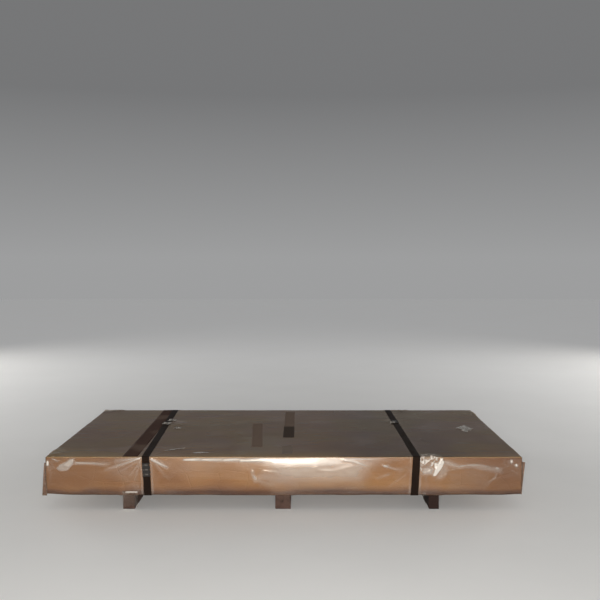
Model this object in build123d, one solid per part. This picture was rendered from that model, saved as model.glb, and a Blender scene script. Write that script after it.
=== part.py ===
from build123d import *
import os
from typing import NamedTuple

# A packet of steel plates, wrapped in kraft paper and clear film, strapped with two
# steel bands and set on three timber skids. Millimetres, +Z up. The origin is on the
# floor under the packet's centre, X runs along the plates, and the front face looks to -Y.

os.makedirs("parts", exist_ok=True)

# Steel plates
plate_length = 2000.0
plate_width = 1000.0
plate_thickness = 5.0
plate_count = 28

# Air between two pieces that lie on each other
air = 0.2

# Paper: two layers of kraft, loose around the plates' edges
paper_thickness = 0.8
paper_slack = 2.6
paper_flap_reach = 110.0

# Film: clear, loose around the paper
film_thickness = 0.4
film_slack = 1.6
film_flap_reach = 90.0

# Adhesive tape on the film's top face, placed from the left end and from the front or back edge
tape_thickness = 0.2
tape_left_width = 64.0
tape_left_inset = 356.0
tape_centre_width = 52.0
tape_centre_inset = 1021.0
tape_centre_back = 52.8
tape_centre_length = 570.0
tape_patch_width = 80.0
tape_patch_inset = 868.0
tape_patch_front = 176.0
tape_patch_length = 480.0

# Adhesive tape that holds the film's folded ends shut
end_tape_width = 48.0
end_tape_length = 640.0

# Steel straps, placed where they cross the top front edge
strap_width = 32.0
strap_thickness = 1.0
strap_tail = 12.0
left_strap_inset = 422.0
left_strap_skew = -34.0
left_strap_drift = 8.0
right_strap_inset = 446.0
right_strap_skew = -12.0
right_strap_drift = -8.0

# Seals: folded sleeves crimped round a strap's two ends
seal_length = 57.0
seal_thickness = 1.0
seal_play = 0.2
seal_corner_radius = 1.0
notch_depth = 7.0
notch_length = 9.0
notch_tip_length = 5.0
notch_pitch = 20.0
front_seal_notches = 3
top_seal_notches = 2
left_front_seal_drop = 55.0
left_top_seal_front = 660.0
right_top_seal_front = 700.0

# Skids: sawn timbers of odd widths, placed from the packet's ends and its middle
skid_height = 75.0
skid_bevel = 2.0
left_skid_width = 50.0
left_skid_inset = 350.0
middle_skid_width = 66.0
middle_skid_offset = -4.0
right_skid_width = 44.0
right_skid_inset = 372.0

# Sizes that follow from those above
plate_pitch = plate_thickness + air
stack_height = plate_count * plate_pitch - air
wrap_bottom = skid_height + air
stack_bottom = wrap_bottom + film_thickness + air + paper_thickness + air

paper_length = plate_length + 2 * (paper_slack + paper_thickness)
paper_width = plate_width + 2 * (paper_slack + paper_thickness)
paper_height = stack_height + 2 * (air + paper_thickness)
paper_radius = paper_slack + paper_thickness
paper_folded_length = paper_length + 4 * paper_thickness

film_length = paper_folded_length + 2 * (film_slack + film_thickness)
film_width = paper_width + 2 * (film_slack + film_thickness)
film_height = paper_height + 2 * (air + film_thickness)
film_radius = paper_radius + air + film_thickness
film_top = wrap_bottom + film_height
film_folded_length = film_length + 4 * film_thickness

strap_gap = tape_thickness + air
left_end = -film_length / 2
right_end = film_length / 2
front = -film_width / 2


class StrapLine(NamedTuple):
    """Where a strap runs: its centre at the top front edge and how far it wanders off."""

    x_front: float
    skew: float
    drift: float

    def x_at(self, y, z):
        """The centre line's place along the packet, for a depth and a height."""
        along_top = self.skew * (y - front) / film_width
        down_front = self.drift * (film_top - z) / film_height
        return self.x_front + along_top + down_front

    def slab(self):
        """Everything within half a strap's width of the strap's own leaning plane."""
        lean = (1, -self.skew / film_width, self.drift / film_height)
        plane = Plane(origin=(self.x_front, front, film_top), z_dir=lean)
        reach = 3 * (film_width + film_height)
        return plane * Box(reach, reach, strap_width)

    def on_top(self, y):
        """The strap's outer face on the packet's top, with the local Y along the strap."""
        height = film_top + strap_gap + strap_thickness
        across = (1, -self.skew / film_width, 0)
        return Plane(origin=(self.x_at(y, film_top), y, height), x_dir=across, z_dir=(0, 0, 1))

    def on_front(self, z):
        """The strap's outer face on the packet's front, with the local Y along the strap."""
        depth = front - strap_gap - strap_thickness
        across = (1, 0, self.drift / film_height)
        return Plane(origin=(self.x_at(front, z), depth, z), x_dir=across, z_dir=(0, -1, 0))


def rounded_block(length, width, height, radius, bottom):
    """A box with all its edges rounded, standing at a given height."""
    block = Pos(0, 0, bottom) * Box(length, width, height, align=(Align.CENTER, Align.CENTER, Align.MIN))
    return fillet(block.edges(), radius)


def end_flap(length, width, radius, bottom, rise, reach, thickness):
    """A folded flap on the +X end: a trapezoid with sides at 45 degrees.

    It starts at the height called bottom and reaches up (rise 1) or down (rise -1).
    """
    half = width / 2 - radius
    corners = [(-half, 0), (half, 0), (half - reach, rise * reach), (reach - half, rise * reach)]
    outline = Polyline(*corners, close=True)
    return Pos(length / 2, 0, bottom) * extrude(Plane.YZ * make_face(outline), thickness)


def folded_ends(length, width, height, radius, bottom, reach, thickness):
    """Both ends of a wrap, folded as on a parcel: the lower flap, and the upper flap over it."""
    lower = end_flap(length, width, radius, bottom + radius, 1, reach, thickness)
    upper = end_flap(length, width, radius, bottom + height - radius, -1, reach, 2 * thickness)
    flaps = lower + upper
    return flaps + mirror(flaps, Plane.YZ)


def wrap(length, width, height, radius, bottom, reach, thickness):
    """A closed skin around a block, with its two ends folded in."""
    outside = rounded_block(length, width, height, radius, bottom)
    inside = rounded_block(
        length - 2 * thickness,
        width - 2 * thickness,
        height - 2 * thickness,
        radius - thickness,
        bottom + thickness,
    )
    return outside - inside + folded_ends(length, width, height, radius, bottom, reach, thickness)


def steel_plates():
    """The stack, plate on plate, with only air between them."""
    first = Pos(0, 0, stack_bottom) * Box(
        plate_length, plate_width, plate_thickness, align=(Align.CENTER, Align.CENTER, Align.MIN)
    )
    return Compound([Pos(0, 0, number * plate_pitch) * first for number in range(plate_count)])


def kraft_wrap():
    """The paper around the stack."""
    bottom = wrap_bottom + film_thickness + air
    return wrap(
        paper_length, paper_width, paper_height, paper_radius, bottom, paper_flap_reach, paper_thickness
    )


def film_wrap():
    """The clear film around the paper."""
    return wrap(
        film_length, film_width, film_height, film_radius, wrap_bottom, film_flap_reach, film_thickness
    )


def top_tape(width, inset, from_front, length):
    """One strip of tape on the packet's top, running from front to back."""
    middle = (left_end + inset, front + from_front + length / 2)
    strip = Pos(*middle, film_top) * Rectangle(width, length)
    return extrude(strip, tape_thickness)


def tape_strips():
    """The strips on the top face: a full one at the left, a short one and a patch at the middle."""
    whole_depth = film_width - 2 * film_radius
    centre_front = film_width - tape_centre_back - tape_centre_length
    return Compound(
        [
            top_tape(tape_left_width, tape_left_inset, film_radius, whole_depth),
            top_tape(tape_centre_width, tape_centre_inset, centre_front, tape_centre_length),
            top_tape(tape_patch_width, tape_patch_inset, tape_patch_front, tape_patch_length),
        ]
    )


def end_tapes():
    """A strip across the lower edge of the film's upper flap, at each end."""
    flap_edge = film_top - film_radius - film_flap_reach
    strip = extrude(Plane.YZ * Rectangle(end_tape_length, end_tape_width), tape_thickness)
    right = Pos(film_folded_length / 2, 0, flap_edge) * strip
    return Compound([right, mirror(right, Plane.YZ)])


def belt(gap, thickness):
    """A belt round the packet's girth that stands off the film by a gap, as long as the film."""
    inner = RectangleRounded(film_width + 2 * gap, film_height + 2 * gap, film_radius + gap)
    stand = gap + thickness
    outer = RectangleRounded(film_width + 2 * stand, film_height + 2 * stand, film_radius + stand)
    ring = Pos(0, 0, wrap_bottom + film_height / 2) * (Plane.YZ * (outer - inner))
    return extrude(ring, film_length / 2, both=True)


def notches(place, count):
    """The cuts that lock a seal and its strap: pairs of wedges from both edges."""
    half_seal = strap_width / 2 + seal_play + seal_thickness
    edge, tip = notch_length / 2, notch_tip_length / 2
    depth = half_seal - strap_width / 2 + notch_depth
    wedge = make_face(Polyline((0, -edge), (depth, -tip), (depth, tip), (0, edge), close=True))
    tall = 4 * (2 * strap_thickness + seal_thickness)
    cutter = extrude(Pos(-half_seal, 0) * wedge, tall / 2, both=True)
    pair = cutter + mirror(cutter, Plane.YZ)
    first = -(count - 1) / 2 * notch_pitch
    return [place * Pos(0, first + row * notch_pitch) * pair for row in range(count)]


def strap(line, seals):
    """One closed band. At each seal its upper end lies on its lower end, notched with it."""
    slab = line.slab()
    band = belt(strap_gap, strap_thickness) & slab
    upper_layer = belt(strap_gap + strap_thickness, strap_thickness) & slab
    for place, count in seals:
        window = place * Box(2 * strap_width, seal_length + 2 * strap_tail, 4 * strap_thickness)
        band += upper_layer & window
        band -= notches(place, count)
    return band


def seal(place, count):
    """A sleeve folded over the strap's two layers, open towards the packet, with its notches."""
    inner_width = strap_width + 2 * seal_play
    inner_height = 2 * strap_thickness + seal_play
    outer_width = inner_width + 2 * seal_thickness
    outer_height = inner_height + seal_thickness
    foot = Pos(0, -strap_thickness)
    outer = foot * Rectangle(outer_width, outer_height, align=(Align.CENTER, Align.MIN))
    shoulders = outer.vertices().group_by(Axis.Y)[-1]
    outer = fillet(shoulders, seal_corner_radius)
    inner = foot * Rectangle(inner_width, inner_height, align=(Align.CENTER, Align.MIN))
    section = Plane.XZ * (outer - inner)
    sleeve = place * extrude(section, seal_length / 2, both=True)
    return sleeve - notches(place, count)


def skid(x, width):
    """A sawn timber under the packet, from front face to back face, with its edges broken."""
    section = Pos(x, skid_height / 2) * Rectangle(width, skid_height)
    section = chamfer(section.vertices(), skid_bevel)
    return extrude(Plane.XZ * section, film_width / 2, both=True)


left_line = StrapLine(left_end + left_strap_inset, left_strap_skew, left_strap_drift)
right_line = StrapLine(right_end - right_strap_inset, right_strap_skew, right_strap_drift)

left_front_seal = (left_line.on_front(film_top - left_front_seal_drop), front_seal_notches)
left_top_seal = (left_line.on_top(front + left_top_seal_front), top_seal_notches)
right_top_seal = (right_line.on_top(front + right_top_seal_front), top_seal_notches)

nodes = {
    "steel_plates": steel_plates(),
    "kraft_wrap": kraft_wrap(),
    "film_wrap": film_wrap(),
    "tape_strips": tape_strips(),
    "end_tapes": end_tapes(),
    "strap_left": strap(left_line, [left_front_seal, left_top_seal]),
    "strap_right": strap(right_line, [right_top_seal]),
    "seal_left_front": seal(*left_front_seal),
    "seal_left_top": seal(*left_top_seal),
    "seal_right_top": seal(*right_top_seal),
    "skid_left": skid(left_end + left_skid_inset, left_skid_width),
    "skid_middle": skid(middle_skid_offset, middle_skid_width),
    "skid_right": skid(right_end - right_skid_inset, right_skid_width),
}

for name, shape in nodes.items():
    export_step(shape, f"parts/{name}.step")
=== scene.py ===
import math
import random
from typing import NamedTuple

import bmesh
import bpy
import numpy as np
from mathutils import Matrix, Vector, noise


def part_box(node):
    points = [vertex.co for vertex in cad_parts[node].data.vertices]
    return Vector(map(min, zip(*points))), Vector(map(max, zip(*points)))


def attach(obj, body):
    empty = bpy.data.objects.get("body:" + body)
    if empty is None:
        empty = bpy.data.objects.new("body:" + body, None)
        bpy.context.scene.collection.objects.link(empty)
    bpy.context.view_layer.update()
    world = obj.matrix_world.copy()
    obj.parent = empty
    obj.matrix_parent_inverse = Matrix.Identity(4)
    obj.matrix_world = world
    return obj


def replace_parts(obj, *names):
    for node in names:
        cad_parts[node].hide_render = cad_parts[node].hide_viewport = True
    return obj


# A packet of steel plates wrapped in kraft paper and clear film, with two black steel straps
# and their crimped seals, brown tape, and three sawn timbers under it.
# Metres, +Z up, the front face towards -Y. Relief is given in millimetres and scaled by MM.

MM = 0.001

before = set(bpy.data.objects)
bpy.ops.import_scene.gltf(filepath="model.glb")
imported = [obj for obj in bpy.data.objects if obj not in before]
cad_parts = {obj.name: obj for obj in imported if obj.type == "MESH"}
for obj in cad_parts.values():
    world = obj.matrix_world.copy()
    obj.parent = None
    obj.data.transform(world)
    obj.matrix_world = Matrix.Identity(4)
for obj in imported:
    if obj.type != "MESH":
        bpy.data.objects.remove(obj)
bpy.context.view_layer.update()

# The wrap's nominal faces, from the frame: the film's end flaps stand a little outside them
FILM_FLAP_STEP = 0.8 * MM
film_low, film_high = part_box("film_wrap")
LOW = Vector((film_low.x + FILM_FLAP_STEP, film_low.y, film_low.z))
HIGH = Vector((film_high.x - FILM_FLAP_STEP, film_high.y, film_high.z))
DEPTH = HIGH.y - LOW.y
HEIGHT = HIGH.z - LOW.z

# A strap's width, and how far its outer face stands off the film
STRAP_WIDTH = 0.032
STRAP_OUTSIDE = 0.0014


class StrapLine(NamedTuple):
    """A strap's leaning plane: its centre at the top front edge and how far it wanders off."""

    x_front: float
    skew: float
    drift: float

    def x_at(self, y, z):
        """The strap's centre along the packet, at a depth and a height."""
        along_top = self.skew * (y - LOW.y) / DEPTH
        down_front = self.drift * (HIGH.z - z) / HEIGHT
        return self.x_front + along_top + down_front


LEFT_STRAP = StrapLine(LOW.x + 0.422, -0.034, 0.008)
RIGHT_STRAP = StrapLine(HIGH.x - 0.446, -0.012, -0.008)
STRAPS = (LEFT_STRAP, RIGHT_STRAP)

SKIDS = ("skid_left", "skid_middle", "skid_right")


# Camera, light and floor

CAMERA_PLACE = (0.071, -3.764, 1.067)
CAMERA_DOWN = 3.15
CAMERA_TURN = 0.05
SENSOR_MM = 36.0
FRAME_PIXELS = 600
FOCAL_PIXELS = 781.1
# The height that the lamps look at, and the floor's half side
AIM_HEIGHT = 0.15
FLOOR_HALF = 16.0


def make_camera():
    """The camera, at the place from which the packet's corners fall where they should."""
    lens = bpy.data.cameras.new("camera")
    lens.sensor_width = SENSOR_MM
    lens.lens = SENSOR_MM * FOCAL_PIXELS / FRAME_PIXELS
    camera = bpy.data.objects.new("camera", lens)
    camera.location = CAMERA_PLACE
    camera.rotation_euler = (math.radians(90 - CAMERA_DOWN), 0, math.radians(CAMERA_TURN))
    bpy.context.scene.collection.objects.link(camera)
    bpy.context.scene.camera = camera
    bpy.context.scene.view_settings.view_transform = "Standard"


def soft_light(name, place, target, width, height, watts, colour):
    """A rectangular lamp that looks from one point to another, and isn't seen itself."""
    lamp = bpy.data.lights.new(name, "AREA")
    lamp.shape = "RECTANGLE"
    lamp.size = width
    lamp.size_y = height
    lamp.energy = watts
    lamp.color = colour
    light = bpy.data.objects.new(name, lamp)
    light.location = place
    light.rotation_euler = (Vector(target) - Vector(place)).to_track_quat("-Z", "Y").to_euler()
    light.visible_camera = False
    bpy.context.scene.collection.objects.link(light)


def make_lights():
    """A soft key from the front, two weak high lamps, and low ones for the ends and the back."""
    warm = (1.0, 0.965, 0.91)
    cool = (0.93, 0.96, 1.0)
    soft_light(
        "key",
        place=(0.05, -4.0, 1.0),
        target=(0, -0.5, AIM_HEIGHT),
        width=0.5,
        height=0.35,
        watts=82,
        colour=warm,
    )
    for side, way in (("left", -1), ("right", 1)):
        soft_light(
            "high_" + side,
            place=(way * 3.9, 2.6, 2.3),
            target=(0, 0, AIM_HEIGHT),
            width=1.4,
            height=1.4,
            watts=11,
            colour=cool,
        )
        soft_light(
            "end_" + side,
            place=(way * 4.4, 0.5, 1.1),
            target=(way, 0, AIM_HEIGHT),
            width=2.6,
            height=1.4,
            watts=26,
            colour=warm,
        )
        soft_light(
            "back_" + side,
            place=(way * 4.7, 3.6, 1.3),
            target=(0, 0.5, AIM_HEIGHT),
            width=2.2,
            height=1.2,
            watts=46,
            colour=warm,
        )


def make_world():
    """A pale horizon under an even, darker ceiling."""
    world = bpy.data.worlds.new("studio")
    bpy.context.scene.world = world
    world.use_nodes = True
    sky = Tree(world.node_tree)
    direction = sky.node("TexCoord", out="Generated")
    rise = sky.node("SeparateXYZ", {0: direction}, out="Z")
    horizon, middle, ceiling = (0.34, 0.342, 0.345), (0.18, 0.182, 0.185), (0.2, 0.2, 0.2)
    colour = sky.ramp(rise, (0.0, horizon), (0.2, middle), (1.0, ceiling))
    background = world.node_tree.nodes["Background"]
    world.node_tree.links.new(colour.socket, background.inputs["Color"])


# Node trees: one class wraps a socket and its arithmetic, another makes the nodes


class Wire:
    """An output socket. Arithmetic on it adds Math nodes."""

    def __init__(self, owner, socket):
        self.owner = owner
        self.socket = socket

    def math(self, operation, *values):
        return self.owner.node("Math", dict(enumerate((self,) + values)), operation=operation)

    def __add__(self, other):
        return self.math("ADD", other)

    __radd__ = __add__

    def __sub__(self, other):
        return self.math("SUBTRACT", other)

    def __rsub__(self, other):
        return self.owner.node("Math", {0: other, 1: self}, operation="SUBTRACT")

    def __mul__(self, other):
        return self.math("MULTIPLY", other)

    def __truediv__(self, other):
        return self.math("DIVIDE", other)

    def __abs__(self):
        return self.math("ABSOLUTE")

    def upto(self, other):
        return self.math("MINIMUM", other)

    def atleast(self, other):
        return self.math("MAXIMUM", other)

    def smooth(self, low, high):
        """0 below low, 1 above high, with a soft step between."""
        sockets = {"Value": self, "From Min": low, "From Max": high}
        return self.owner.node("MapRange", sockets, interpolation_type="SMOOTHSTEP")

    def hump(self, centre, half_width):
        """1 at the centre, falling to 0 at half a width from it."""
        return 1 - abs(self - centre).smooth(0.0, half_width)


class Tree:
    """A node tree under construction. Its node method makes every node."""

    # What the names of the node types begin with
    KINDS = ("ShaderNode", "GeometryNode", "")

    def __init__(self, tree):
        self.tree = tree

    def node(self, kind, sockets=None, out=0, stops=None, **settings):
        """A node of one kind: settings first, then the values or links of its sockets."""
        prefix = next(p for p in self.KINDS if hasattr(bpy.types, p + kind))
        made = self.tree.nodes.new(prefix + kind)
        for name, value in settings.items():
            setattr(made, name, value)
        if stops:
            ramp = made.color_ramp
            while len(ramp.elements) < len(stops):
                ramp.elements.new(1.0)
            for element, (position, colour) in zip(ramp.elements, stops):
                element.position = position
                element.color = (*colour, 1)
        for name, value in (sockets or {}).items():
            if isinstance(value, Wire):
                self.tree.links.new(value.socket, made.inputs[name])
            else:
                made.inputs[name].default_value = value
        return Wire(self, made.outputs[out]) if made.outputs else made

    def ramp(self, value, *stops):
        """A colour from a value, by stops of a position and a colour."""
        return self.node("ValToRGB", {"Fac": value}, stops=stops)


class Finish(Tree):
    """A material under construction, with the textures that the finishes share."""

    def __init__(self, name):
        self.material = bpy.data.materials.new(name)
        self.material.use_nodes = True
        super().__init__(self.material.node_tree)
        self.tree.nodes.clear()

    def place(self):
        """Object coordinates, which are the packet's own frame in metres."""
        return self.node("TexCoord", out="Object")

    def axes(self):
        """The three object coordinates, one by one."""
        place = self.place()
        return [self.node("SeparateXYZ", {0: place}, out=axis) for axis in "XYZ"]

    def scaled(self, size, stretch):
        """Object coordinates in units of a size, stretched along some axes."""
        scale = tuple(1 / (size * s) for s in stretch)
        return self.node("Mapping", {"Vector": self.place(), "Scale": scale})

    def noise(self, size, stretch=(1, 1, 1), detail=4.0, roughness=0.55, twist=0.0):
        """Soft noise whose features are about size metres, longer along a stretched axis."""
        sockets = {"Vector": self.scaled(size, stretch), "Scale": 1.0, "Detail": detail}
        sockets.update({"Roughness": roughness, "Distortion": twist})
        return self.node("TexNoise", sockets)

    def crackle(self, size, stretch=(1, 1, 1)):
        """Cells about size metres across: the distance to their edges."""
        sockets = {"Vector": self.scaled(size, stretch), "Scale": 1.0}
        return self.node("TexVoronoi", sockets, feature="DISTANCE_TO_EDGE")

    def blend(self, share, first, second):
        """A mix of two colours, or colour wires."""
        colours = [c if isinstance(c, Wire) else (*c, 1) for c in (first, second)]
        return self.node("Mix", {0: share, 6: colours[0], 7: colours[1]}, out=2, data_type="RGBA")

    def attribute(self, name):
        """A value that the mesh holds at each of its points."""
        return self.node("Attribute", out="Fac", attribute_name=name)

    def bump(self, height, distance, strength=1.0):
        """A normal from a height in units of the distance, in metres."""
        return self.node("Bump", {"Height": height, "Distance": distance, "Strength": strength})

    def principled(self, **values):
        """A Principled shader. Names use underscores for spaces, and colours have three numbers."""
        named = {name.replace("_", " "): value for name, value in values.items()}
        for name, value in named.items():
            if isinstance(value, tuple) and len(value) == 3:
                named[name] = (*value, 1)
        return self.node("BsdfPrincipled", named)

    def finished(self, shader):
        """Ends the material with its shader."""
        self.node("OutputMaterial", {"Surface": shader})
        return self.material


# Finishes


def kraft_paper():
    """Creased brown kraft: blotches, long fibres, paler worn creases, a gloss from the film on it, a
    painted highlight near the top's front edge, and painted shade low down and towards the ends.
    """
    f = Finish("kraft_paper")
    blotch = f.noise(0.2, stretch=(1.6, 1, 1), detail=3)
    mottle = f.noise(0.04, stretch=(2.2, 1, 1), detail=4)
    fibre = f.noise(0.0016, stretch=(7, 1, 1.4), detail=3, roughness=0.7)
    speck = f.noise(0.0035, detail=2)
    brown = f.ramp(
        blotch, (0.32, (0.265, 0.108, 0.03)), (0.52, (0.355, 0.167, 0.048)), (0.72, (0.42, 0.22, 0.066))
    )
    brown = f.blend(mottle.smooth(0.42, 0.8) * 0.3, brown, (0.41, 0.24, 0.11))
    brown = f.blend(fibre.smooth(0.45, 0.8) * 0.3, brown, (0.39, 0.25, 0.135))
    brown = f.blend(speck.smooth(0.64, 0.78) * 0.45, brown, (0.12, 0.055, 0.026))
    brown = f.blend(f.attribute("worn") * 0.5, brown, (0.41, 0.28, 0.165))
    # Painted highlight: the top's paper is painted pale golden near its front edge.
    brown = f.blend(f.attribute("pale") * 0.9, brown, (0.88, 0.6, 0.25))
    # Painted shade: the paper is painted darker where the wrap rolls under, on the lower end flaps, on
    # the ears and towards the ends. It is also darker on the top's right part.
    soiled = (f.attribute("soiled") * (0.65 + mottle * 0.6)).upto(1.0)
    painted_dark_tone = f.blend(soiled.smooth(0.6, 1.0), (0.17, 0.072, 0.036), (0.1, 0.042, 0.024))
    brown = f.blend(soiled, brown, painted_dark_tone)
    crease = f.crackle(0.06, stretch=(1.6, 1, 1)).smooth(0.0, 0.05)
    height = fibre * 0.22 + speck * 0.12 + mottle * 0.9 + crease * 0.45
    shader = f.principled(
        Base_Color=brown,
        Roughness=0.4 + fibre * 0.2,
        Specular_IOR_Level=0.6,
        Normal=f.bump(height, 0.0009, 0.6),
    )
    return f.finished(shader)


def clear_film(name, dust_and_warm_reflection=1.0, mirror_share=1.22):
    """Thin clear film: see-through, mirror-like where it is smooth, milky where it is creased and where
    sheen and highlights are painted, and tinted warm on level faces as a painted reflection.
    """
    f = Finish(name)
    pull = f.noise(0.05, stretch=(7, 1, 1), detail=1, twist=0.15)
    ridge = pull.hump(0.5, 0.06)
    thread = f.noise(0.018, stretch=(9, 1, 1), detail=2, twist=0.1).hump(0.5, 0.09)
    ripple = f.noise(0.05, stretch=(1.5, 1, 1), detail=2)
    level = abs(f.node("SeparateXYZ", {0: f.node("NewGeometry", out="Normal")}, out="Z"))
    height = (ridge * 0.16 + thread * 0.05 + ripple * 1.1) * (1 - level * 0.9)
    normal = f.bump(height, 0.0012, 0.7)
    smear = f.noise(0.09, stretch=(1.8, 1, 1), detail=1)
    streak = f.noise(0.02, stretch=(2.4, 1, 1), detail=3)
    dust = f.noise(0.16, stretch=(1.3, 1, 1), detail=2).smooth(0.42, 0.75)
    # The mesh's milky-film value stands for real milkiness in creases and also for painted sheen and
    # highlights.
    patch = f.attribute("haze") * (0.8 + streak * 0.6)
    settled = dust * (0.02 + level * 0.06) * dust_and_warm_reflection
    milky = (patch + settled + (ridge * 0.02 + thread * 0.01) * (1 - level)).upto(0.9)
    # A warm tint for level faces, a painted reflection. The same factor scales the dust settled there.
    cast = f.noise(0.26, stretch=(1.5, 1, 1), detail=2).smooth(0.42, 0.58)
    warm_reflection_tint = f.blend(cast, (0.86, 0.745, 0.58), (0.82, 0.69, 0.62))
    mirror = f.node("Fresnel", {"IOR": 1.5, "Normal": normal}) * mirror_share
    share = (mirror + milky).upto(0.93)
    foil = f.principled(
        Base_Color=f.blend(level * dust_and_warm_reflection, (0.9, 0.84, 0.77), warm_reflection_tint),
        Metallic=(mirror / (mirror + milky)).smooth(0.0, 0.75),
        Roughness=0.17 + smear * 0.18,
        Normal=normal,
    )
    clear = f.node("BsdfTransparent", {"Color": (0.985, 0.98, 0.97, 1)})
    return f.finished(f.node("MixShader", {0: share, 1: clear, 2: foil}))


def plate_steel():
    """Mill-finish plate, of which only the edges would ever show."""
    f = Finish("plate_steel")
    streak = f.noise(0.004, stretch=(30, 1, 1), detail=3)
    tone = f.ramp(streak, (0.3, (0.26, 0.27, 0.28)), (0.7, (0.46, 0.47, 0.48)))
    shader = f.principled(
        Base_Color=tone, Metallic=1.0, Roughness=0.35 + streak * 0.2, Normal=f.bump(streak, 0.0002, 0.4)
    )
    return f.finished(shader)


def across_strap(f, line):
    """How far a point lies from the strap's middle, as a wire in metres."""
    x, y, z = f.axes()
    middle = (y - LOW.y) * (line.skew / DEPTH) + (HIGH.z - z) * (line.drift / HEIGHT) + line.x_front
    return abs(x - middle)


def strap_black(name, line):
    """Black painted strapping, rubbed to bare steel along its edges and scratched along its run."""
    f = Finish(name)
    edge = across_strap(f, line).smooth(STRAP_WIDTH / 2 - 0.0022, STRAP_WIDTH / 2 - 0.0002)
    chips = f.noise(0.004, stretch=(1, 5, 5), detail=4)
    scratch = f.noise(0.0007, stretch=(1, 60, 60), detail=2)
    bare = (edge * chips.smooth(0.5, 0.62) * 0.45 + scratch.smooth(0.73, 0.8) * 0.25).upto(1.0)
    dust = f.noise(0.03, stretch=(1, 3, 3), detail=4).smooth(0.45, 0.8)
    paint = f.blend(dust * 0.5, (0.013, 0.006, 0.003), (0.03, 0.016, 0.009))
    ripple = f.noise(0.06, detail=1)
    shader = f.principled(
        Base_Color=f.blend(bare, paint, (0.3, 0.27, 0.24)),
        Metallic=bare * 0.9,
        Roughness=0.5 + dust * 0.2 + chips * 0.1,
        Specular_IOR_Level=0.1,
        Normal=f.bump(scratch * 0.1 - bare * 0.4 + ripple * 0.8, 0.0004, 0.7),
    )
    return f.finished(shader)


class Crimp(NamedTuple):
    """A seal on a strap: its middle on the strap's outer face, and its rows of notches."""

    line: StrapLine
    face: str
    along: float
    rows: int

    def middle(self):
        """The middle of the seal, on the strap's outer face."""
        if self.face == "front":
            return Vector((self.line.x_at(LOW.y, self.along), LOW.y - STRAP_OUTSIDE, self.along))
        return Vector((self.line.x_at(self.along, HIGH.z), self.along, HIGH.z + STRAP_OUTSIDE))

    def turn(self):
        """The turn that lays +X across the strap, +Y along it and +Z away from the packet."""
        if self.face == "front":
            return (math.radians(90), math.atan(-self.line.drift / HEIGHT), 0)
        return (0, 0, math.atan(-self.line.skew / DEPTH))


NOTCH_PITCH = 0.020
NOTCH_TIP = 0.009
SEAL_TOP = 0.0022
CRIMPS = {
    "seal_left_front": Crimp(LEFT_STRAP, "front", HIGH.z - 0.055, 3),
    "seal_left_top": Crimp(LEFT_STRAP, "top", LOW.y + 0.660, 2),
    "seal_right_top": Crimp(RIGHT_STRAP, "top", LOW.y + 0.700, 2),
}


def seal_black(name, crimp):
    """A seal's painted sleeve, cracked to bright steel across each row of notches."""
    f = Finish(name)
    x, y, z = f.axes()
    along = z if crimp.face == "front" else y
    nearest_row = None
    for row in range(crimp.rows):
        centre = crimp.along + (row - (crimp.rows - 1) / 2) * NOTCH_PITCH
        here = along.hump(centre, 0.0052)
        nearest_row = here if nearest_row is None else nearest_row.atleast(here)
    middle = 1 - across_strap(f, crimp.line).smooth(0.004, 0.0085)
    chips = f.noise(0.003, detail=4)
    scratch = f.noise(0.0008, stretch=(1, 25, 25), detail=2)
    cracked = nearest_row * middle * chips.smooth(0.3, 0.5)
    bare = (cracked * 0.8 + chips.smooth(0.62, 0.7) * 0.3 + scratch.smooth(0.72, 0.78) * 0.25).upto(1.0)
    shader = f.principled(
        Base_Color=f.blend(bare, (0.016, 0.0125, 0.0105), (0.16, 0.145, 0.13)),
        Metallic=bare * 0.6,
        Roughness=0.45 - bare * 0.1,
        Specular_IOR_Level=0.4,
        Normal=f.bump(chips * 0.6 + scratch * 0.3 + cracked * 1.4, 0.0006, 0.8),
    )
    return f.finished(shader)


def crimp_steel():
    """The bent tabs: black paint, worn bright where the jaws cut and bent the sleeve."""
    f = Finish("crimp_steel")
    grit = f.noise(0.002, detail=3)
    worn = grit.smooth(0.45, 0.58)
    shader = f.principled(
        Base_Color=f.blend(worn, (0.014, 0.011, 0.009), (0.1, 0.09, 0.08)),
        Metallic=worn * 0.8,
        Roughness=0.4 + grit * 0.25,
        Normal=f.bump(grit, 0.0003, 0.5),
    )
    return f.finished(shader)


def sawn_timber(name, dark, light, grey):
    """Weathered softwood, sawn along Y: grain streaks, saw marks, stains and fine cracks."""
    f = Finish(name)
    waver = f.noise(0.25, stretch=(1, 3, 1), detail=2)
    grain = f.noise(0.004, stretch=(1, 45, 1), detail=5, roughness=0.65, twist=0.3)
    vein = f.noise(0.0013, stretch=(1, 80, 1), detail=3)
    stain = f.noise(0.05, stretch=(1, 2, 1), detail=4)
    saw = f.noise(0.0022, stretch=(8, 1, 8), detail=1).smooth(0.35, 0.7)
    crack = f.crackle(0.016, stretch=(1, 22, 1.6))
    open_crack = (1 - crack.smooth(0.0, 0.03)) * stain.smooth(0.4, 0.6)
    tone = f.ramp(grain, (0.25, dark), (0.5, light), (0.8, grey))
    tone = f.blend(vein.smooth(0.5, 0.75) * 0.5, tone, dark)
    tone = f.blend(stain.smooth(0.45, 0.75) * 0.6, tone, tuple(0.45 * c for c in dark))
    tone = f.blend(waver.smooth(0.4, 0.7) * 0.25, tone, grey)
    tone = f.blend(open_crack, tone, tuple(0.2 * c for c in dark))
    height = grain * 0.9 + vein * 0.35 + saw * 0.35 - open_crack * 1.2
    shader = f.principled(
        Base_Color=tone,
        Roughness=0.68 + grain * 0.2,
        Specular_IOR_Level=0.25,
        Normal=f.bump(height, 0.0012, 0.8),
    )
    return f.finished(shader)


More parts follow.
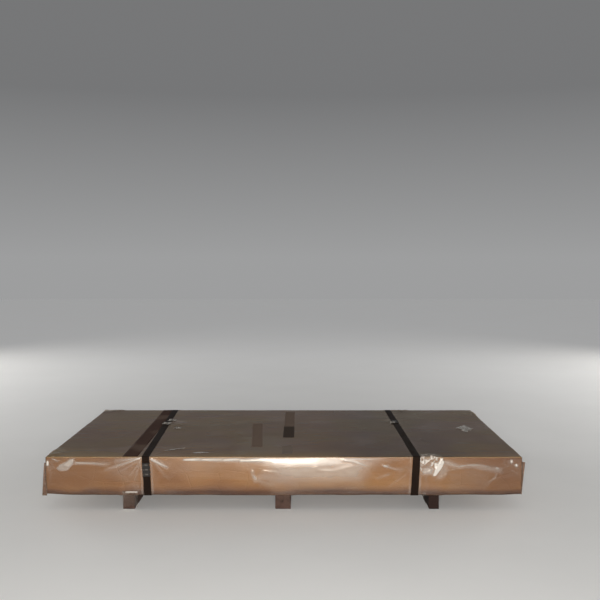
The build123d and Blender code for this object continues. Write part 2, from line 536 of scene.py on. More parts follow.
def packing_tape():
    """Brown packing tape under a dust-dulled gloss, with trapped air and rubbed streaks."""
    f = Finish("packing_tape")
    streak = f.noise(0.003, stretch=(1, 30, 1), detail=3)
    air = f.noise(0.012, stretch=(1, 2, 1), detail=3)
    thin = f.ramp(air, (0.35, (0.17, 0.118, 0.088)), (0.7, (0.195, 0.142, 0.108)))
    thick = f.ramp(air, (0.35, (0.05, 0.022, 0.014)), (0.7, (0.074, 0.038, 0.027)))
    tone = f.blend(f.attribute("thick"), thin, thick)
    tone = f.blend(streak.smooth(0.55, 0.8) * 0.2, tone, (0.12, 0.085, 0.056))
    tone = f.blend(f.attribute("doubled"), tone, (0.034, 0.02, 0.012))
    tone = f.blend(f.attribute("faint"), tone, (0.2, 0.165, 0.135))
    shader = f.principled(
        Base_Color=tone,
        Roughness=0.6 + air * 0.25,
        Specular_IOR_Level=0.1,
        Normal=f.bump(air * 0.8 + streak * 0.2, 0.0006, 0.7),
    )
    return f.finished(shader)


def studio_floor():
    """Plain pale floor with the faintest mottle. It glows, painted light: faintly near the packet, and
    up to the horizon's tone far away.
    """
    f = Finish("studio_floor")
    mottle = f.noise(0.6, detail=4)
    tone = f.ramp(mottle, (0.3, (0.78, 0.78, 0.77)), (0.7, (0.81, 0.81, 0.8)))
    radius = f.node("VectorMath", {0: f.place()}, out="Value", operation="LENGTH")
    glow = f.blend(radius.smooth(1.2, 5.0), (0.09, 0.09, 0.09), (0.19, 0.191, 0.193))
    shader = f.principled(Base_Color=tone, Roughness=0.75, Emission_Color=glow, Emission_Strength=1.0)
    return f.finished(shader)


# Noise, folds and room: the wrap's relief is worked out on numpy arrays of points

# A distance in metres that is past everything here
FAR = 9.0


def cloud(points, size, seed=0.0, stretch=(1, 1, 1)):
    """Soft noise between about -1 and 1 at each point, with features of about size metres."""
    scaled = points / (size * np.array(stretch)) + seed
    return np.array([noise.noise(Vector(p)) for p in scaled])


def chance(places):
    """A fixed random number between 0 and 1 for each whole-numbered place."""
    return np.abs(np.sin(places @ np.array((12.9898, 78.233, 37.719))) * 43758.5453) % 1


def crumple(points, size, seed=0.0):
    """Flat facets with sharp creases between them: each point's height and its facet's tone, 0 to 1."""
    warp = [cloud(points, size * 2.5, seed + shift) for shift in (0, 5, 9)]
    place = points / size + 0.9 * np.stack(warp, axis=1) + seed
    skewed = place + place.sum(axis=1, keepdims=True) / 3
    corner = np.floor(skewed)
    inside = skewed - corner
    order = np.argsort(-inside, axis=1)
    tone = chance(corner * 3 + order)
    shares = np.take_along_axis(inside, order, axis=1)
    height = (1 - shares[:, 0]) * chance(corner)
    for step in range(3):
        corner[np.arange(len(points)), order[:, step]] += 1
        after = shares[:, step + 1] if step < 2 else 0
        height += (shares[:, step] - after) * chance(corner)
    return height, tone


def soft_step(value, low, high):
    """0 below low, 1 above high, with a soft step between."""
    t = np.clip((value - low) / (high - low), 0, 1)
    return t * t * (3 - 2 * t)


class Fold(NamedTuple):
    """A raised crease along a line of points on a face, in millimetres. Its shine makes the film milky
    along it, for the crease's own milkiness and as a painted highlight.
    """

    line: tuple
    width: float
    height: float
    shine: float = 0.3

    def relief(self, flat):
        """The fold's height at points on its face, and how milky the film is there, which also paints
        its highlight.

        It starts sharp and high, and grows wider and lower along its line.
        """
        line = np.array(self.line, float) * MM
        lengths = np.linalg.norm(np.diff(line, axis=0), axis=1)
        walked = 0.0
        best = np.zeros(len(flat))
        for start, end, length in zip(line[:-1], line[1:], lengths):
            along = (end - start) / length
            away = flat - start
            t = np.clip(away @ along, 0, length)
            distance = np.linalg.norm(away - t[:, None] * along, axis=1)
            share = (walked + t) / lengths.sum()
            taper = soft_step(share, -0.02, 0.06) * (1 - share) ** 0.6
            width = self.width * MM * (0.45 + 0.9 * share)
            best = np.maximum(best, np.clip(1 - distance / width, 0, 1) ** 1.4 * taper)
            walked += length
        return best * self.height, best * self.shine


def fan(start, ends, width, height, shine=0.3):
    """Folds that spread from one point."""
    return [Fold((start, end), width, height, shine) for end in ends]


class Veil(NamedTuple):
    """A patch where the film lies double or milky, or where a sheen is painted as milky film, in
    millimetres on its face.
    """

    corners: tuple
    height: float
    haze: float
    soft: float = 3.0

    def cover(self, flat):
        """1 well inside the patch, 0 outside it."""
        corners = np.array(self.corners, float) * MM
        inside = np.full(len(flat), FAR)
        for start, end in zip(corners, np.roll(corners, -1, axis=0)):
            side = (end - start) / np.linalg.norm(end - start)
            away = flat - start
            inside = np.minimum(inside, side[0] * away[:, 1] - side[1] * away[:, 0])
        return soft_step(inside, -0.3 * self.soft * MM, 0.7 * self.soft * MM)


# Folds on the front face: points are along the packet and above the floor. The folds with the most
# shine paint the key light's highlights and glints
FRONT_FOLDS = [
    *fan((-604, 219), [(-762, 167), (-722, 205)], 15, 3.6, 0.46),
    *fan((-604, 212), [(-722, 145), (-668, 118), (-640, 96)], 10, 2.6, 0.22),
    *fan((-566, 216), [(-484, 174)], 12, 4.0, 0.85),
    Fold(((-605, 219), (-640, 213)), 9, 3.0, 0.95),
    Fold(((-425, 212), (-375, 213), (-320, 213)), 12, 2.2, 1.1),
    Fold(((-350, 213), (-285, 212), (-228, 213)), 13, 2.2, 1.05),
    Fold(((-262, 211), (-205, 213), (-150, 211)), 16, 2.2, 0.95),
    Fold(((-190, 210), (-120, 211), (-40, 211)), 20, 2.2, 0.95),
    Fold(((250, 215), (310, 215), (400, 214)), 7, 1.6, 0.75),
    *fan((-566, 214), [(-425, 146), (-470, 200), (-540, 110)], 7, 1.6, 0.06),
    *fan((543, 217), [(470, 120), (500, 96), (430, 205)], 8, 1.8, 0.08),
    *fan((579, 217), [(700, 205), (650, 110), (610, 96)], 8, 2.4, 0.15),
    Fold(((-885, 200), (-815, 197), (-730, 191)), 12, 2.6, 0.5),
    Fold(((-980, 217), (-950, 204)), 5, 2.6, 0.6),
    Fold(((-891, 216), (-893, 196)), 6, 2.6, 0.95),
    Fold(((-999, 207), (-998, 184)), 8, 2.5, 1.8),
    Fold(((672, 222), (662, 196), (642, 168), (632, 145)), 12, 4.0, 0.85),
    Fold(((588, 216), (596, 208)), 6, 3.0, 0.6),
    Fold(((612, 218), (622, 208)), 6, 3.0, 0.6),
    Fold(((601, 186), (612, 178), (608, 168)), 6, 3.0, 0.5),
    Fold(((620, 198), (644, 212)), 6, 2.6, 0.3),
    Fold(((584, 190), (584, 140)), 5, 1.8, 0.3),
    Fold(((755, 184), (725, 186), (702, 191), (678, 206)), 9, 2.8, 0.42),
    Fold(((735, 185), (793, 191), (838, 189), (868, 181), (895, 172)), 5.5, 2.8, 0.6),
    Fold(((896, 180), (911, 170)), 8, 3.0, 0.75),
    Fold(((905, 166), (893, 140), (868, 112), (831, 85)), 7, 2.0, 0.17),
    Fold(((702, 168), (735, 176), (790, 178), (852, 172)), 7, 2.2, 0.16),
    Fold(((690, 152), (652, 120)), 14, 2.4, 0.14),
    Fold(((900, 150), (891, 131), (849, 108), (823, 85)), 9, 1.8, 0.1),
    Fold(((-138, 172), (-124, 134), (-84, 116), (8, 100)), 27, 2.4, 0.22),
    Fold(((-96, 166), (-30, 158), (40, 150), (64, 118)), 16, 1.8, 0.12),
    Fold(((-128, 146), (-108, 116)), 24, 1.8, 0.45),
    Fold(((250, 211), (306, 203), (350, 187), (374, 181)), 13, 1.7, 0.7),
    Fold(((306, 200), (332, 192), (358, 183)), 10, 2.4, 0.6),
    Fold(((128, 190), (146, 166), (212, 166), (286, 183), (362, 186)), 15, 1.6, 0.2),
    Fold(((176, 164), (162, 122), (150, 92)), 26, 1.6, 0.1),
    Fold(((452, 152), (418, 141), (386, 128)), 13, 1.8, 0.17),
    Fold(((520, 150), (476, 118), (440, 98)), 8, 1.8, 0.12),
    Fold(((414, 190), (433, 184), (470, 172), (510, 168)), 12, 2.8, 0.34),
    Fold(((420, 187), (446, 182)), 11, 3.0, 0.8),
    Fold(((244, 178), (262, 160), (280, 152)), 9, 2.0, 0.14),
    Fold(((961, 213), (963, 196)), 7, 2.8, 1.8),
    Fold(((978, 194), (986, 183)), 9, 2.6, 1.8),
    Fold(((940, 214), (930, 196), (950, 180)), 6, 1.6, 0.12),
    Fold(((-1000, 205), (-985, 150), (-992, 100)), 6, 1.8, 0.15),
]

# Milky patches on the front: most of them paint the key light's sheen and highlights, at the left
# corner, beside the right strap and over the middle.
FRONT_VEILS = [
    Veil(
        ((-964, 173), (-945, 162), (-915, 164), (-887, 194), (-887, 217), (-904, 213), (-949, 192)),
        0.3, 0.26, 6.0,
    ),
    Veil(((-940, 188), (-908, 176), (-887, 194), (-887, 219), (-906, 215)), 0.3, 0.4, 11.0),
    Veil(((-770, 150), (-606, 78), (-604, 222), (-690, 222)), 0.0, 0.045, 40.0),
    Veil(((-887, 188), (-735, 193), (-887, 207)), 0.1, 0.2, 9.0),
    Veil(((629, 142), (642, 142), (668, 177), (679, 204), (663, 219), (640, 178)), 0.8, 0.95, 6.0),
    Veil(((583, 140), (640, 150), (672, 222), (583, 222)), 0.3, 0.12, 10.0),
    Veil(((583, 146), (628, 146), (640, 182), (583, 184)), 0.2, 0.36, 18.0),
    Veil(((640, 135), (655, 120), (702, 168), (690, 196), (676, 204)), 0.2, 0.19, 26.0),
    Veil(((664, 190), (745, 172), (756, 190), (682, 214)), 0.2, 0.28, 20.0),
    Veil(((705, 172), (830, 176), (830, 198), (705, 194)), 0.2, 0.2, 24.0),
    Veil(((800, 172), (922, 150), (928, 180), (802, 198)), 0.2, 0.17, 24.0),
    Veil(((690, 86), (860, 86), (870, 150), (790, 172), (700, 150)), 0.0, 0.03, 20.0),
    Veil(((-125, 140), (-60, 106), (60, 94), (90, 130), (30, 172), (-90, 172)), 0.0, 0.15, 34.0),
    Veil(((-130, 200), (60, 178), (200, 180), (262, 200), (230, 224), (-130, 224)), 0.0, 0.34, 22.0),
    Veil(((-50, 104), (330, 104), (400, 226), (-80, 226)), 0.0, 0.3, 110.0),
    Veil(((-480, 150), (-300, 140), (-280, 215), (-440, 215)), 0.0, 0.05, 40.0),
]

# Folds on the top face: points are along the packet and back from its middle
TOP_FOLDS = [
    *fan((-566, -496), [(-400, -430), (-330, -470), (-480, -330)], 8, 1.3, 0.04),
    *fan((-604, -496), [(-820, -380), (-760, -450)], 9, 1.2, 0.03),
    *fan((580, -496), [(760, -380), (700, -460)], 9, 1.3, 0.04),
    *fan((543, -496), [(380, -420), (430, -480)], 8, 1.2, 0.04),
    Fold(((-900, -300), (-780, -150), (-700, 60)), 12, 0.9, 0.02),
    Fold(((720, -250), (860, -60), (930, 200)), 12, 0.9, 0.02),
    Fold(((640, -60), (720, 30), (800, 20), (840, -120)), 14, 1.0, 0.02),
    Fold(((-520, -260), (-300, -180), (-60, -230)), 12, 1.1, 0.04),
    Fold(((100, -470), (240, -440), (420, -460)), 8, 1.1, 0.05),
]

# Faintly milky patches on the top
TOP_VEILS = [Veil(((-230, -490), (10, -490), (20, -120), (-200, -120)), 0.0, 0.09, 90.0)]

# Creases that run in from the corners of each end: points are along the end and above the floor
END_FOLDS = [
    Fold(((side * 503, corner), (side * 432, 150)), 7, 1.5, 0.1)
    for side in (-1, 1)
    for corner in (221, 78)
]


class Bunch(NamedTuple):
    """Crumpled film: its centre, reach and size of a facet in metres, its height in millimetres."""

    centre: tuple
    reach: float
    facet: float
    height: float
    haze: float


BUNCHES = [
    Bunch((0.614, LOW.y, 0.2), 0.048, 0.02, 8.0, 0.85),
    Bunch((0.975, LOW.y, 0.19), 0.04, 0.024, 2.5, 0.1),
    Bunch((-0.59, 0.155, HIGH.z), 0.075, 0.024, 2.6, 0.12),
    Bunch((0.53, 0.2, HIGH.z), 0.045, 0.022, 2.0, 0.1),
    Bunch((-0.97, HIGH.y, 0.17), 0.08, 0.03, 6.0, 0.3),
    Bunch((0.6, HIGH.y, 0.19), 0.06, 0.024, 6.0, 0.35),
    Bunch((LOW.x, -0.43, 0.18), 0.07, 0.028, 5.0, 0.25),
    Bunch((HIGH.x, 0.42, 0.18), 0.07, 0.028, 5.0, 0.25),
]


# Random folds: how many at each corner of a strap, and their widths in millimetres
PUCKERS_AT_CORNER = 4
PUCKER_WIDTH = 8
PUCKER_SHINE = 0.15
LOOSE_WIDTH = 9
# The side of a strap, from its middle, where the puckers start
BESIDE_STRAP = 0.019


def strap_puckers(seed, face):
    """Random tension folds that spread from the straps' upper and lower corners on one face."""
    draw = random.Random(seed)
    folds = []
    depth = HIGH.y if face == "back" else LOW.y
    for line in STRAPS:
        for height, drop in ((HIGH.z - 0.006, -1), (LOW.z + 0.010, 1)):
            for side in (-1, 1):
                start_x = line.x_at(depth, height) + side * BESIDE_STRAP
                start = (start_x / MM, height / MM)
                for _ in range(PUCKERS_AT_CORNER):
                    reach = draw.uniform(0.05, 0.17)
                    rise = draw.uniform(0.03, 0.1) * drop
                    end = ((start_x + side * reach) / MM, (height + rise) / MM)
                    raised = draw.uniform(1.2, 3.2)
                    folds.append(Fold((start, end), PUCKER_WIDTH, raised, PUCKER_SHINE))
    return folds


def loose_folds(seed, count, low, high, height, shine):
    """Random long, shallow folds over a face, in millimetres."""
    draw = random.Random(seed)
    folds = []
    for _ in range(count):
        x, y = draw.uniform(low[0], high[0]), draw.uniform(low[1], high[1])
        run, climb = draw.uniform(60, 220), draw.uniform(-50, 50)
        middle = (x + run * 0.5, y + climb * 0.5 + draw.uniform(-12, 12))
        line = ((x, y), middle, (x + run, y + climb))
        folds.append(Fold(line, LOOSE_WIDTH, draw.uniform(0.4, 1) * height, shine))
    return folds


def strap_distance(points):
    """Each point's distance from the nearest strap's middle, in metres."""
    gaps = [np.abs(points[:, 0] - line.x_at(points[:, 1], points[:, 2])) for line in STRAPS]
    return np.minimum(*gaps)


def edge_distance(points):
    """Each point's distance from the nearer of the front and the back, in metres."""
    return np.minimum(points[:, 1] - LOW.y, HIGH.y - points[:, 1])


def skid_distance(points):
    """Each point's sideways distance from the nearest skid, in metres; 0 over a skid."""
    nearest = np.full(len(points), FAR)
    for name in SKIDS:
        low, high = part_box(name)
        beside = np.maximum(low.x - points[:, 0], points[:, 0] - high.x)
        nearest = np.minimum(nearest, np.maximum(beside, 0))
    return nearest


# A point belongs to a face when its outward direction has at least this share of the face's
FACING = 0.01

# An upright face's section: a taut slope below its top edge, then a bend, as shares of its height
TAUT = 0.09
BEND = 0.42
# How much of its stand is drawn in again towards its lower edge
DRAWN_IN = 0.75

# About how far the loose wrap stands off the front, the back and the ends, in millimetres
FRONT_STAND = 12.5
BACK_STAND = 8.0
END_STAND = 2.5
# The front and the back stand off most near their middle: its place and reach along the packet,
# and the share that is left of it far to the sides
FULL_PLACE = 0.05
FULL_REACH = 0.25
SIDE_SHARE = 0.28

# The slope that throws the key light at the camera. Where the front is flatter, a shoulder below
# its top edge makes up for it: where it starts and how far it reaches down, in millimetres
BRIGHT_SLOPE = 0.25
SHOULDER_START = 3.0
SHOULDER_REACH = 6.0
# What is added to that reach left of the front's middle, as a multiple of it
SHOULDER_MIDDLE = 3.2

# How far the upright faces draw in above their lower edge, in millimetres
TUCK = 3.2

# How far the wrap's lower edge and the straps hang below the plates, and the height that takes it up
HANG = 16.0
HANG_BLEND = 0.04
# The shares of it that are missing well inside the underside and at the packet's ends, and that
# come and go along the packet
HANG_LESS_INSIDE = 0.5
HANG_LESS_AT_ENDS = 0.25
HANG_UNEVEN = 0.13


def hang_of(points):
    """How far down the wrap hangs at points of its nominal surface, in millimetres."""
    off_strap = soft_step(strap_distance(points), 0.02, 0.06)
    inside = soft_step(edge_distance(points), 0.06, 0.25)
    settle = 1 - HANG_LESS_INSIDE * off_strap * inside
    uneven = 1 + HANG_UNEVEN * off_strap * cloud(points, 0.12, 7.7)
    near_end = 1 - soft_step(HIGH.x - np.abs(points[:, 0]), 0.0, 0.1)
    low = 1 - soft_step(points[:, 2] - LOW.z, 0.0, HANG_BLEND)
    return HANG * settle * uneven * (1 - HANG_LESS_AT_ENDS * near_end) * low


class Hem(NamedTuple):
    """One row of the lower corner where it goes over a skid's end: how far round the corner it
    lies, in degrees, how far in front of the end and above the wrap's foot it is put, in
    millimetres, and the same for the inner layer."""

    roll: float
    out: float
    out_inner: float
    rise: float
    rise_inner: float


# From the outside to the inside: the hem's two lower corners, and its way back up to the skid's top
HEMS = [
    Hem(22.5, 2.4, 1.9, 1.0 - HANG, 1.6 - HANG),
    Hem(45.0, 1.2, 1.5, -HANG, 0.6 - HANG),
    Hem(67.5, 0.5, 1.0, 0.5, 1.0),
]
# How far the film stands off the face above a hem, in millimetres
HEM_STAND = 3.2

# The lip of film beside a strap: its distance from the strap's middle and its width in metres,
# its height in millimetres, and how milky it is
LIP_PLACE = 0.0215
LIP_WIDTH = 0.0032
LIP_HEIGHT = 2.2
LIP_HAZE = 0.2

# How far the film may stand out, in millimetres: anywhere, under a strap and on a skid
ROOM = 30
ROOM_UNDER_STRAP = 0.15
ROOM_ON_SKID = 0.05

# The gap from the film to the paper, in millimetres: on level faces, what upright faces and ends
# add to it, in a hem, and the least
GAP = 0.6
GAP_UPRIGHT = 0.9
GAP_IN_HEM = 0.6
GAP_LEAST = 0.45

# How far the film and the paper may sink inside their nominal faces, in millimetres: the film
# anywhere and what its front and back add, the paper on level and on upright faces
FILM_SINKS = 0.3
FILM_SINKS_UPRIGHT = 3.0
PAPER_SINKS_LEVEL = 1.4
PAPER_SINKS_UPRIGHT = 4.5

# The wrap's waves: their size in metres, seed and stretch, and their height in millimetres on any
# face and what upright faces add
WAVES = [
    (0.3, 1.3, (1.4, 1, 1), 0.5, 0.9),
    (0.14, 9.4, (1.3, 1, 0.9), 0.3, 1.5),
    (0.06, 5.9, (1.6, 1, 0.8), 0.15, 0.4),
]

# The heights above the floor between which the painted shade along the paper's lower edge fades out
PAINTED_SHADE_UP_TO = 0.084
PAINTED_SHADE_GONE_FROM = 0.11


class WrapRelief:
    """The paper's and the film's distance from the wrap's nominal faces, in millimetres."""

    def __init__(self, points, outward):
        self.points = points
        self.outward = outward
        self.front = np.clip(-outward[:, 1], 0, 1)
        self.back = np.clip(outward[:, 1], 0, 1)
        self.top = np.clip(outward[:, 2], 0, 1)
        self.under = np.clip(-outward[:, 2], 0, 1)
        self.ends = np.abs(outward[:, 0])
        self.sides = np.clip(self.front + self.back + self.ends, 0, 1)
        self.from_strap = strap_distance(points)
        self.from_skid = skid_distance(points)
        self.rise = np.clip((points[:, 2] - LOW.z) / HEIGHT, 0, 1)
        self.haze = np.zeros(len(points))
        self.off_skid = soft_step(self.from_skid, 0.004, 0.034)
        self.loose = soft_step(self.from_strap, 0.017, 0.055) * self.off_skid
        self.common = self.bulge() - self.tuck() + self.waves()

    def bulge(self):
        """The loose wrap stands off the plates' edges, but not at the straps."""
        x = self.points[:, 0]
        free = soft_step(self.from_strap, 0.016, 0.14)
        fall = 1 - self.rise
        bent = np.clip((fall - TAUT) / BEND, 0, 1)
        eased = BEND * (bent**3 - bent**4 / 2) + np.maximum(fall - TAUT - BEND, 0)
        belly = (fall - eased) / (TAUT + BEND / 2) * (1 - DRAWN_IN * soft_step(fall, 0.6, 1.0))
        middle = np.exp(-(((x - FULL_PLACE) / FULL_REACH) ** 2))
        side = SIDE_SHARE + (1 - SIDE_SHARE) * middle
        share = side * (1 + 0.25 * cloud(self.points, 0.22, 3.1))
        stand = (self.front * FRONT_STAND + self.back * BACK_STAND) * share
        shoulder = self.shoulder(fall, FRONT_STAND * share / ((TAUT + BEND / 2) * HEIGHT / MM))
        return (stand * belly + self.front * shoulder) * free + self.ends * END_STAND * belly

    def shoulder(self, fall, slope):
        """What the front's slope lacks below its top edge, between the straps."""
        x = self.points[:, 0]
        towards_middle = soft_step(x, -0.45, 0.0) * (1 - soft_step(x, 0.1, 0.22))
        uneven = 1 + 0.35 * cloud(self.points, 0.06, 6.6)
        reach = SHOULDER_REACH * (1 + SHOULDER_MIDDLE * towards_middle) * uneven
        below = np.maximum(fall * HEIGHT / MM - SHOULDER_START, 0)
        shoulder = np.clip(BRIGHT_SLOPE - slope, 0, 1) * reach * np.tanh(below / reach)
        return shoulder * soft_step(x, -0.47, -0.4) * (1 - soft_step(x, 0.4, 0.47))

    def tuck(self):
        """Between the skids the upright faces draw in above their lower edge."""
        low = 1 - soft_step(self.rise, 0.03, 0.13)
        upright = (self.front + self.back) * (1 - self.under)
        return TUCK * upright * low * self.loose

    def soiled(self):
        """How dark the paper is painted: painted shade where it rolls under and near the ends, and
        darker on the top's right part.
        """
        along = self.points[:, 0]
        uneven = 0.006 * cloud(self.points, 0.1, 4.4)
        low = 1 - soft_step(self.points[:, 2] + uneven, PAINTED_SHADE_UP_TO, PAINTED_SHADE_GONE_FROM)
        low *= 1 - 0.2 * self.under
        near_end = (0.36 + 0.2 * soft_step(along, 0.3, 0.7)) * soft_step(np.abs(along), 0.5, 0.95)
        near_end *= 1 - self.top
        above = 0.8 * self.top * soft_step(along, 0.1, 0.4) * (1 - 0.8 * soft_step(along, 0.65, 0.9))
        return np.maximum(low, np.maximum(near_end, above))

    def waves(self):
        """Broad and closer waves all over, small on the top and larger on the upright faces."""
        total = np.zeros(len(self.points))
        for size, seed, stretch, height, upright in WAVES:
            total += cloud(self.points, size, seed, stretch) * (height + upright * self.sides)
        return total

    def folds(self):
        """The film's own folds and double layers, face by face."""
        front_flat = self.points[:, [0, 2]]
        top_flat = self.points[:, [0, 1]]
        end_flat = self.points[:, [1, 2]]
        left = self.ends * (self.points[:, 0] < 0)
        right = self.ends * (self.points[:, 0] > 0)
        # Each kind of face: the lowest and the highest place where a random fold may start
        back_range = ((-960, 85), (850, 210))
        level_range = ((-950, -480), (800, 480))
        end_range = ((-470, 90), (250, 205))
        # The front keeps only the random puckers at the left strap's upper right corner
        front_puckers = strap_puckers(5, "front")[PUCKERS_AT_CORNER : 2 * PUCKERS_AT_CORNER]
        back_puckers = strap_puckers(11, "back")
        plans = [
            (FRONT_FOLDS + front_puckers, front_flat, self.front),
            (back_puckers + loose_folds(3, 26, *back_range, 2.4, 0.15), front_flat, self.back),
            (TOP_FOLDS + loose_folds(8, 20, *level_range, 0.9, 0.03), top_flat, self.top),
            (END_FOLDS + loose_folds(21, 9, *end_range, 2.2, 0.08), end_flat, left),
            (END_FOLDS + loose_folds(34, 9, *end_range, 2.2, 0.08), end_flat, right),
            (loose_folds(55, 24, *level_range, 2.0, 0.1), top_flat, self.under),
        ]
        raised = np.zeros(len(self.points))
        for folds, flat, share in plans:
            here = share > FACING
            for fold in folds:
                height, shine = fold.relief(flat[here])
                raised[here] = np.maximum(raised[here], height * share[here])
                self.haze[here] = np.maximum(self.haze[here], shine * share[here])
        layers = ((FRONT_VEILS, front_flat, self.front), (TOP_VEILS, top_flat, self.top))
        for veils, flat, share in layers:
            here = share > FACING
            for veil in veils:
                cover = veil.cover(flat[here]) * share[here]
                raised[here] += cover * veil.height
                self.haze[here] = np.maximum(self.haze[here], cover * veil.haze)
        return raised

    def strap_lips(self):
        """The film stands up in a thin lip along both edges of a strap, made milky, which also paints
        the light it catches.
        """
        lip = np.exp(-(((self.from_strap - LIP_PLACE) / LIP_WIDTH) ** 2))
        uneven = 0.75 + 0.5 * cloud(self.points, 0.03, 2.2)
        faces = self.front + self.back + 0.35 * self.top
        lip = lip * np.clip(uneven, 0, 1.5) * faces
        self.haze = np.maximum(self.haze, lip * LIP_HAZE)
        return lip * LIP_HEIGHT

    def crumples(self):
        """Sharp facets where the film was bunched up. Some facets are made milky, which paints their
        glints.
        """
        total = np.zeros(len(self.points))
        for bunch in BUNCHES:
            distance = np.linalg.norm(self.points - np.array(bunch.centre), axis=1)
            whole, none = bunch.reach * 0.5, bunch.reach * 1.4
            here = distance < none
            mask = 1 - soft_step(distance[here], whole, none)
            facets, tone = crumple(self.points[here], bunch.facet, seed=bunch.centre[0])
            total[here] += facets * mask * bunch.height
            milky = (0.2 + 0.8 * soft_step(tone, 0.6, 0.8)) * soft_step(tone, 0.15, 0.4) * bunch.haze
            self.haze[here] = np.maximum(self.haze[here], mask * milky)
        return total

    def room(self):
        """How far the film may stand out: hardly at all under a strap or on a skid."""
        free = ROOM * soft_step(self.from_strap, 0.0175, 0.045)
        on_skid = ROOM * soft_step(self.from_skid, 0.003, 0.04) + ROOM_ON_SKID
        under = np.where(self.under > 0.5, on_skid, ROOM)
        return np.minimum(free + ROOM_UNDER_STRAP, under)

    def solve(self):
        """The paper's relief and the film's, the film always outside the paper."""
        gap = GAP + GAP_UPRIGHT * self.sides + GAP_UPRIGHT * self.ends
        raised = self.folds() + self.crumples() + self.strap_lips()
        upright = (self.front + self.back) * (1 - self.under)
        lowest = -FILM_SINKS - FILM_SINKS_UPRIGHT * upright
        hem = HEM_STAND * (1 - self.off_skid) * (self.front + self.back)
        hem *= (self.under < FACING) * (1 - soft_step(self.rise, 0.02, 0.3))
        film = np.maximum(np.clip(self.common + raised, lowest, self.room()), hem)
        floor = -PAPER_SINKS_LEVEL * (self.top + self.under) - PAPER_SINKS_UPRIGHT * self.sides
        paper = np.maximum(np.minimum(self.common, self.room()) - gap, floor)
        return np.minimum(np.maximum(paper, hem - GAP_IN_HEM), film - GAP_LEAST), film

    def moved(self, relief, inner):
        """The points of a skin that stands off by a relief, hangs down and hems the skids' ends."""
        on_skid = 1 - self.off_skid
        resting = np.where(self.under > 0.99, on_skid, 0)
        stand = self.points + self.outward * relief[:, None] * MM
        stand[:, 2] -= hang_of(self.points) * (1 - resting) * MM
        way = np.sign(self.outward[:, 1])
        face = np.where(way < 0, LOW.y, HIGH.y)
        for hem in HEMS:
            share = on_skid * np.isclose(self.under, math.sin(math.radians(hem.roll)), atol=0.02)
            out, rise = (hem.out_inner, hem.rise_inner) if inner else (hem.out, hem.rise)
            stand[:, 1] += share * (face + way * out * MM - stand[:, 1])
            stand[:, 2] += share * (LOW.z + rise * MM - stand[:, 2])
        return stand


# A closed rounded box as one grid: rings along X, and a grid over each end


def spaced(low, high, coarse, fine, marks, blend=0.06):
    """Places from low to high, closer together inside the marked stretches, with a blend outside."""
    places = [low]
    while places[-1] < high:
        here = places[-1]
        away = min(max(a - here, here - b, 0) for a, b in marks)
        places.append(here + fine + (coarse - fine) * min(away / blend, 1.0))
    return low + (np.array(places) - low) * (high - low) / (places[-1] - low)


# The wrap's radius at its top edges and at its lower ones
WRAP_HEAD = 0.004
WRAP_FOOT = 0.008
# The grid: shares of the height, steps round a long edge, and rings round an end's edge
WRAP_RISE = np.linspace(0, 1, 43)
WRAP_CORNER = 4
WRAP_END_TURNS = 3
# Places along the packet and shares of its depth, closest at the edges, folds, straps and seals
WRAP_ALONG = spaced(
    LOW.x + WRAP_HEAD,
    HIGH.x - WRAP_HEAD,
    coarse=0.009,
    fine=0.0044,
    marks=[(-1.0, -0.86), (-0.76, -0.48), (-0.14, 0.03), (0.42, 0.68), (0.88, 1.0)],
)
WRAP_ACROSS = spaced(
    0,
    1,
    coarse=0.024,
    fine=0.007,
    marks=[(0.0, 0.05), (0.58, 0.76), (0.98, 1.0)],
)


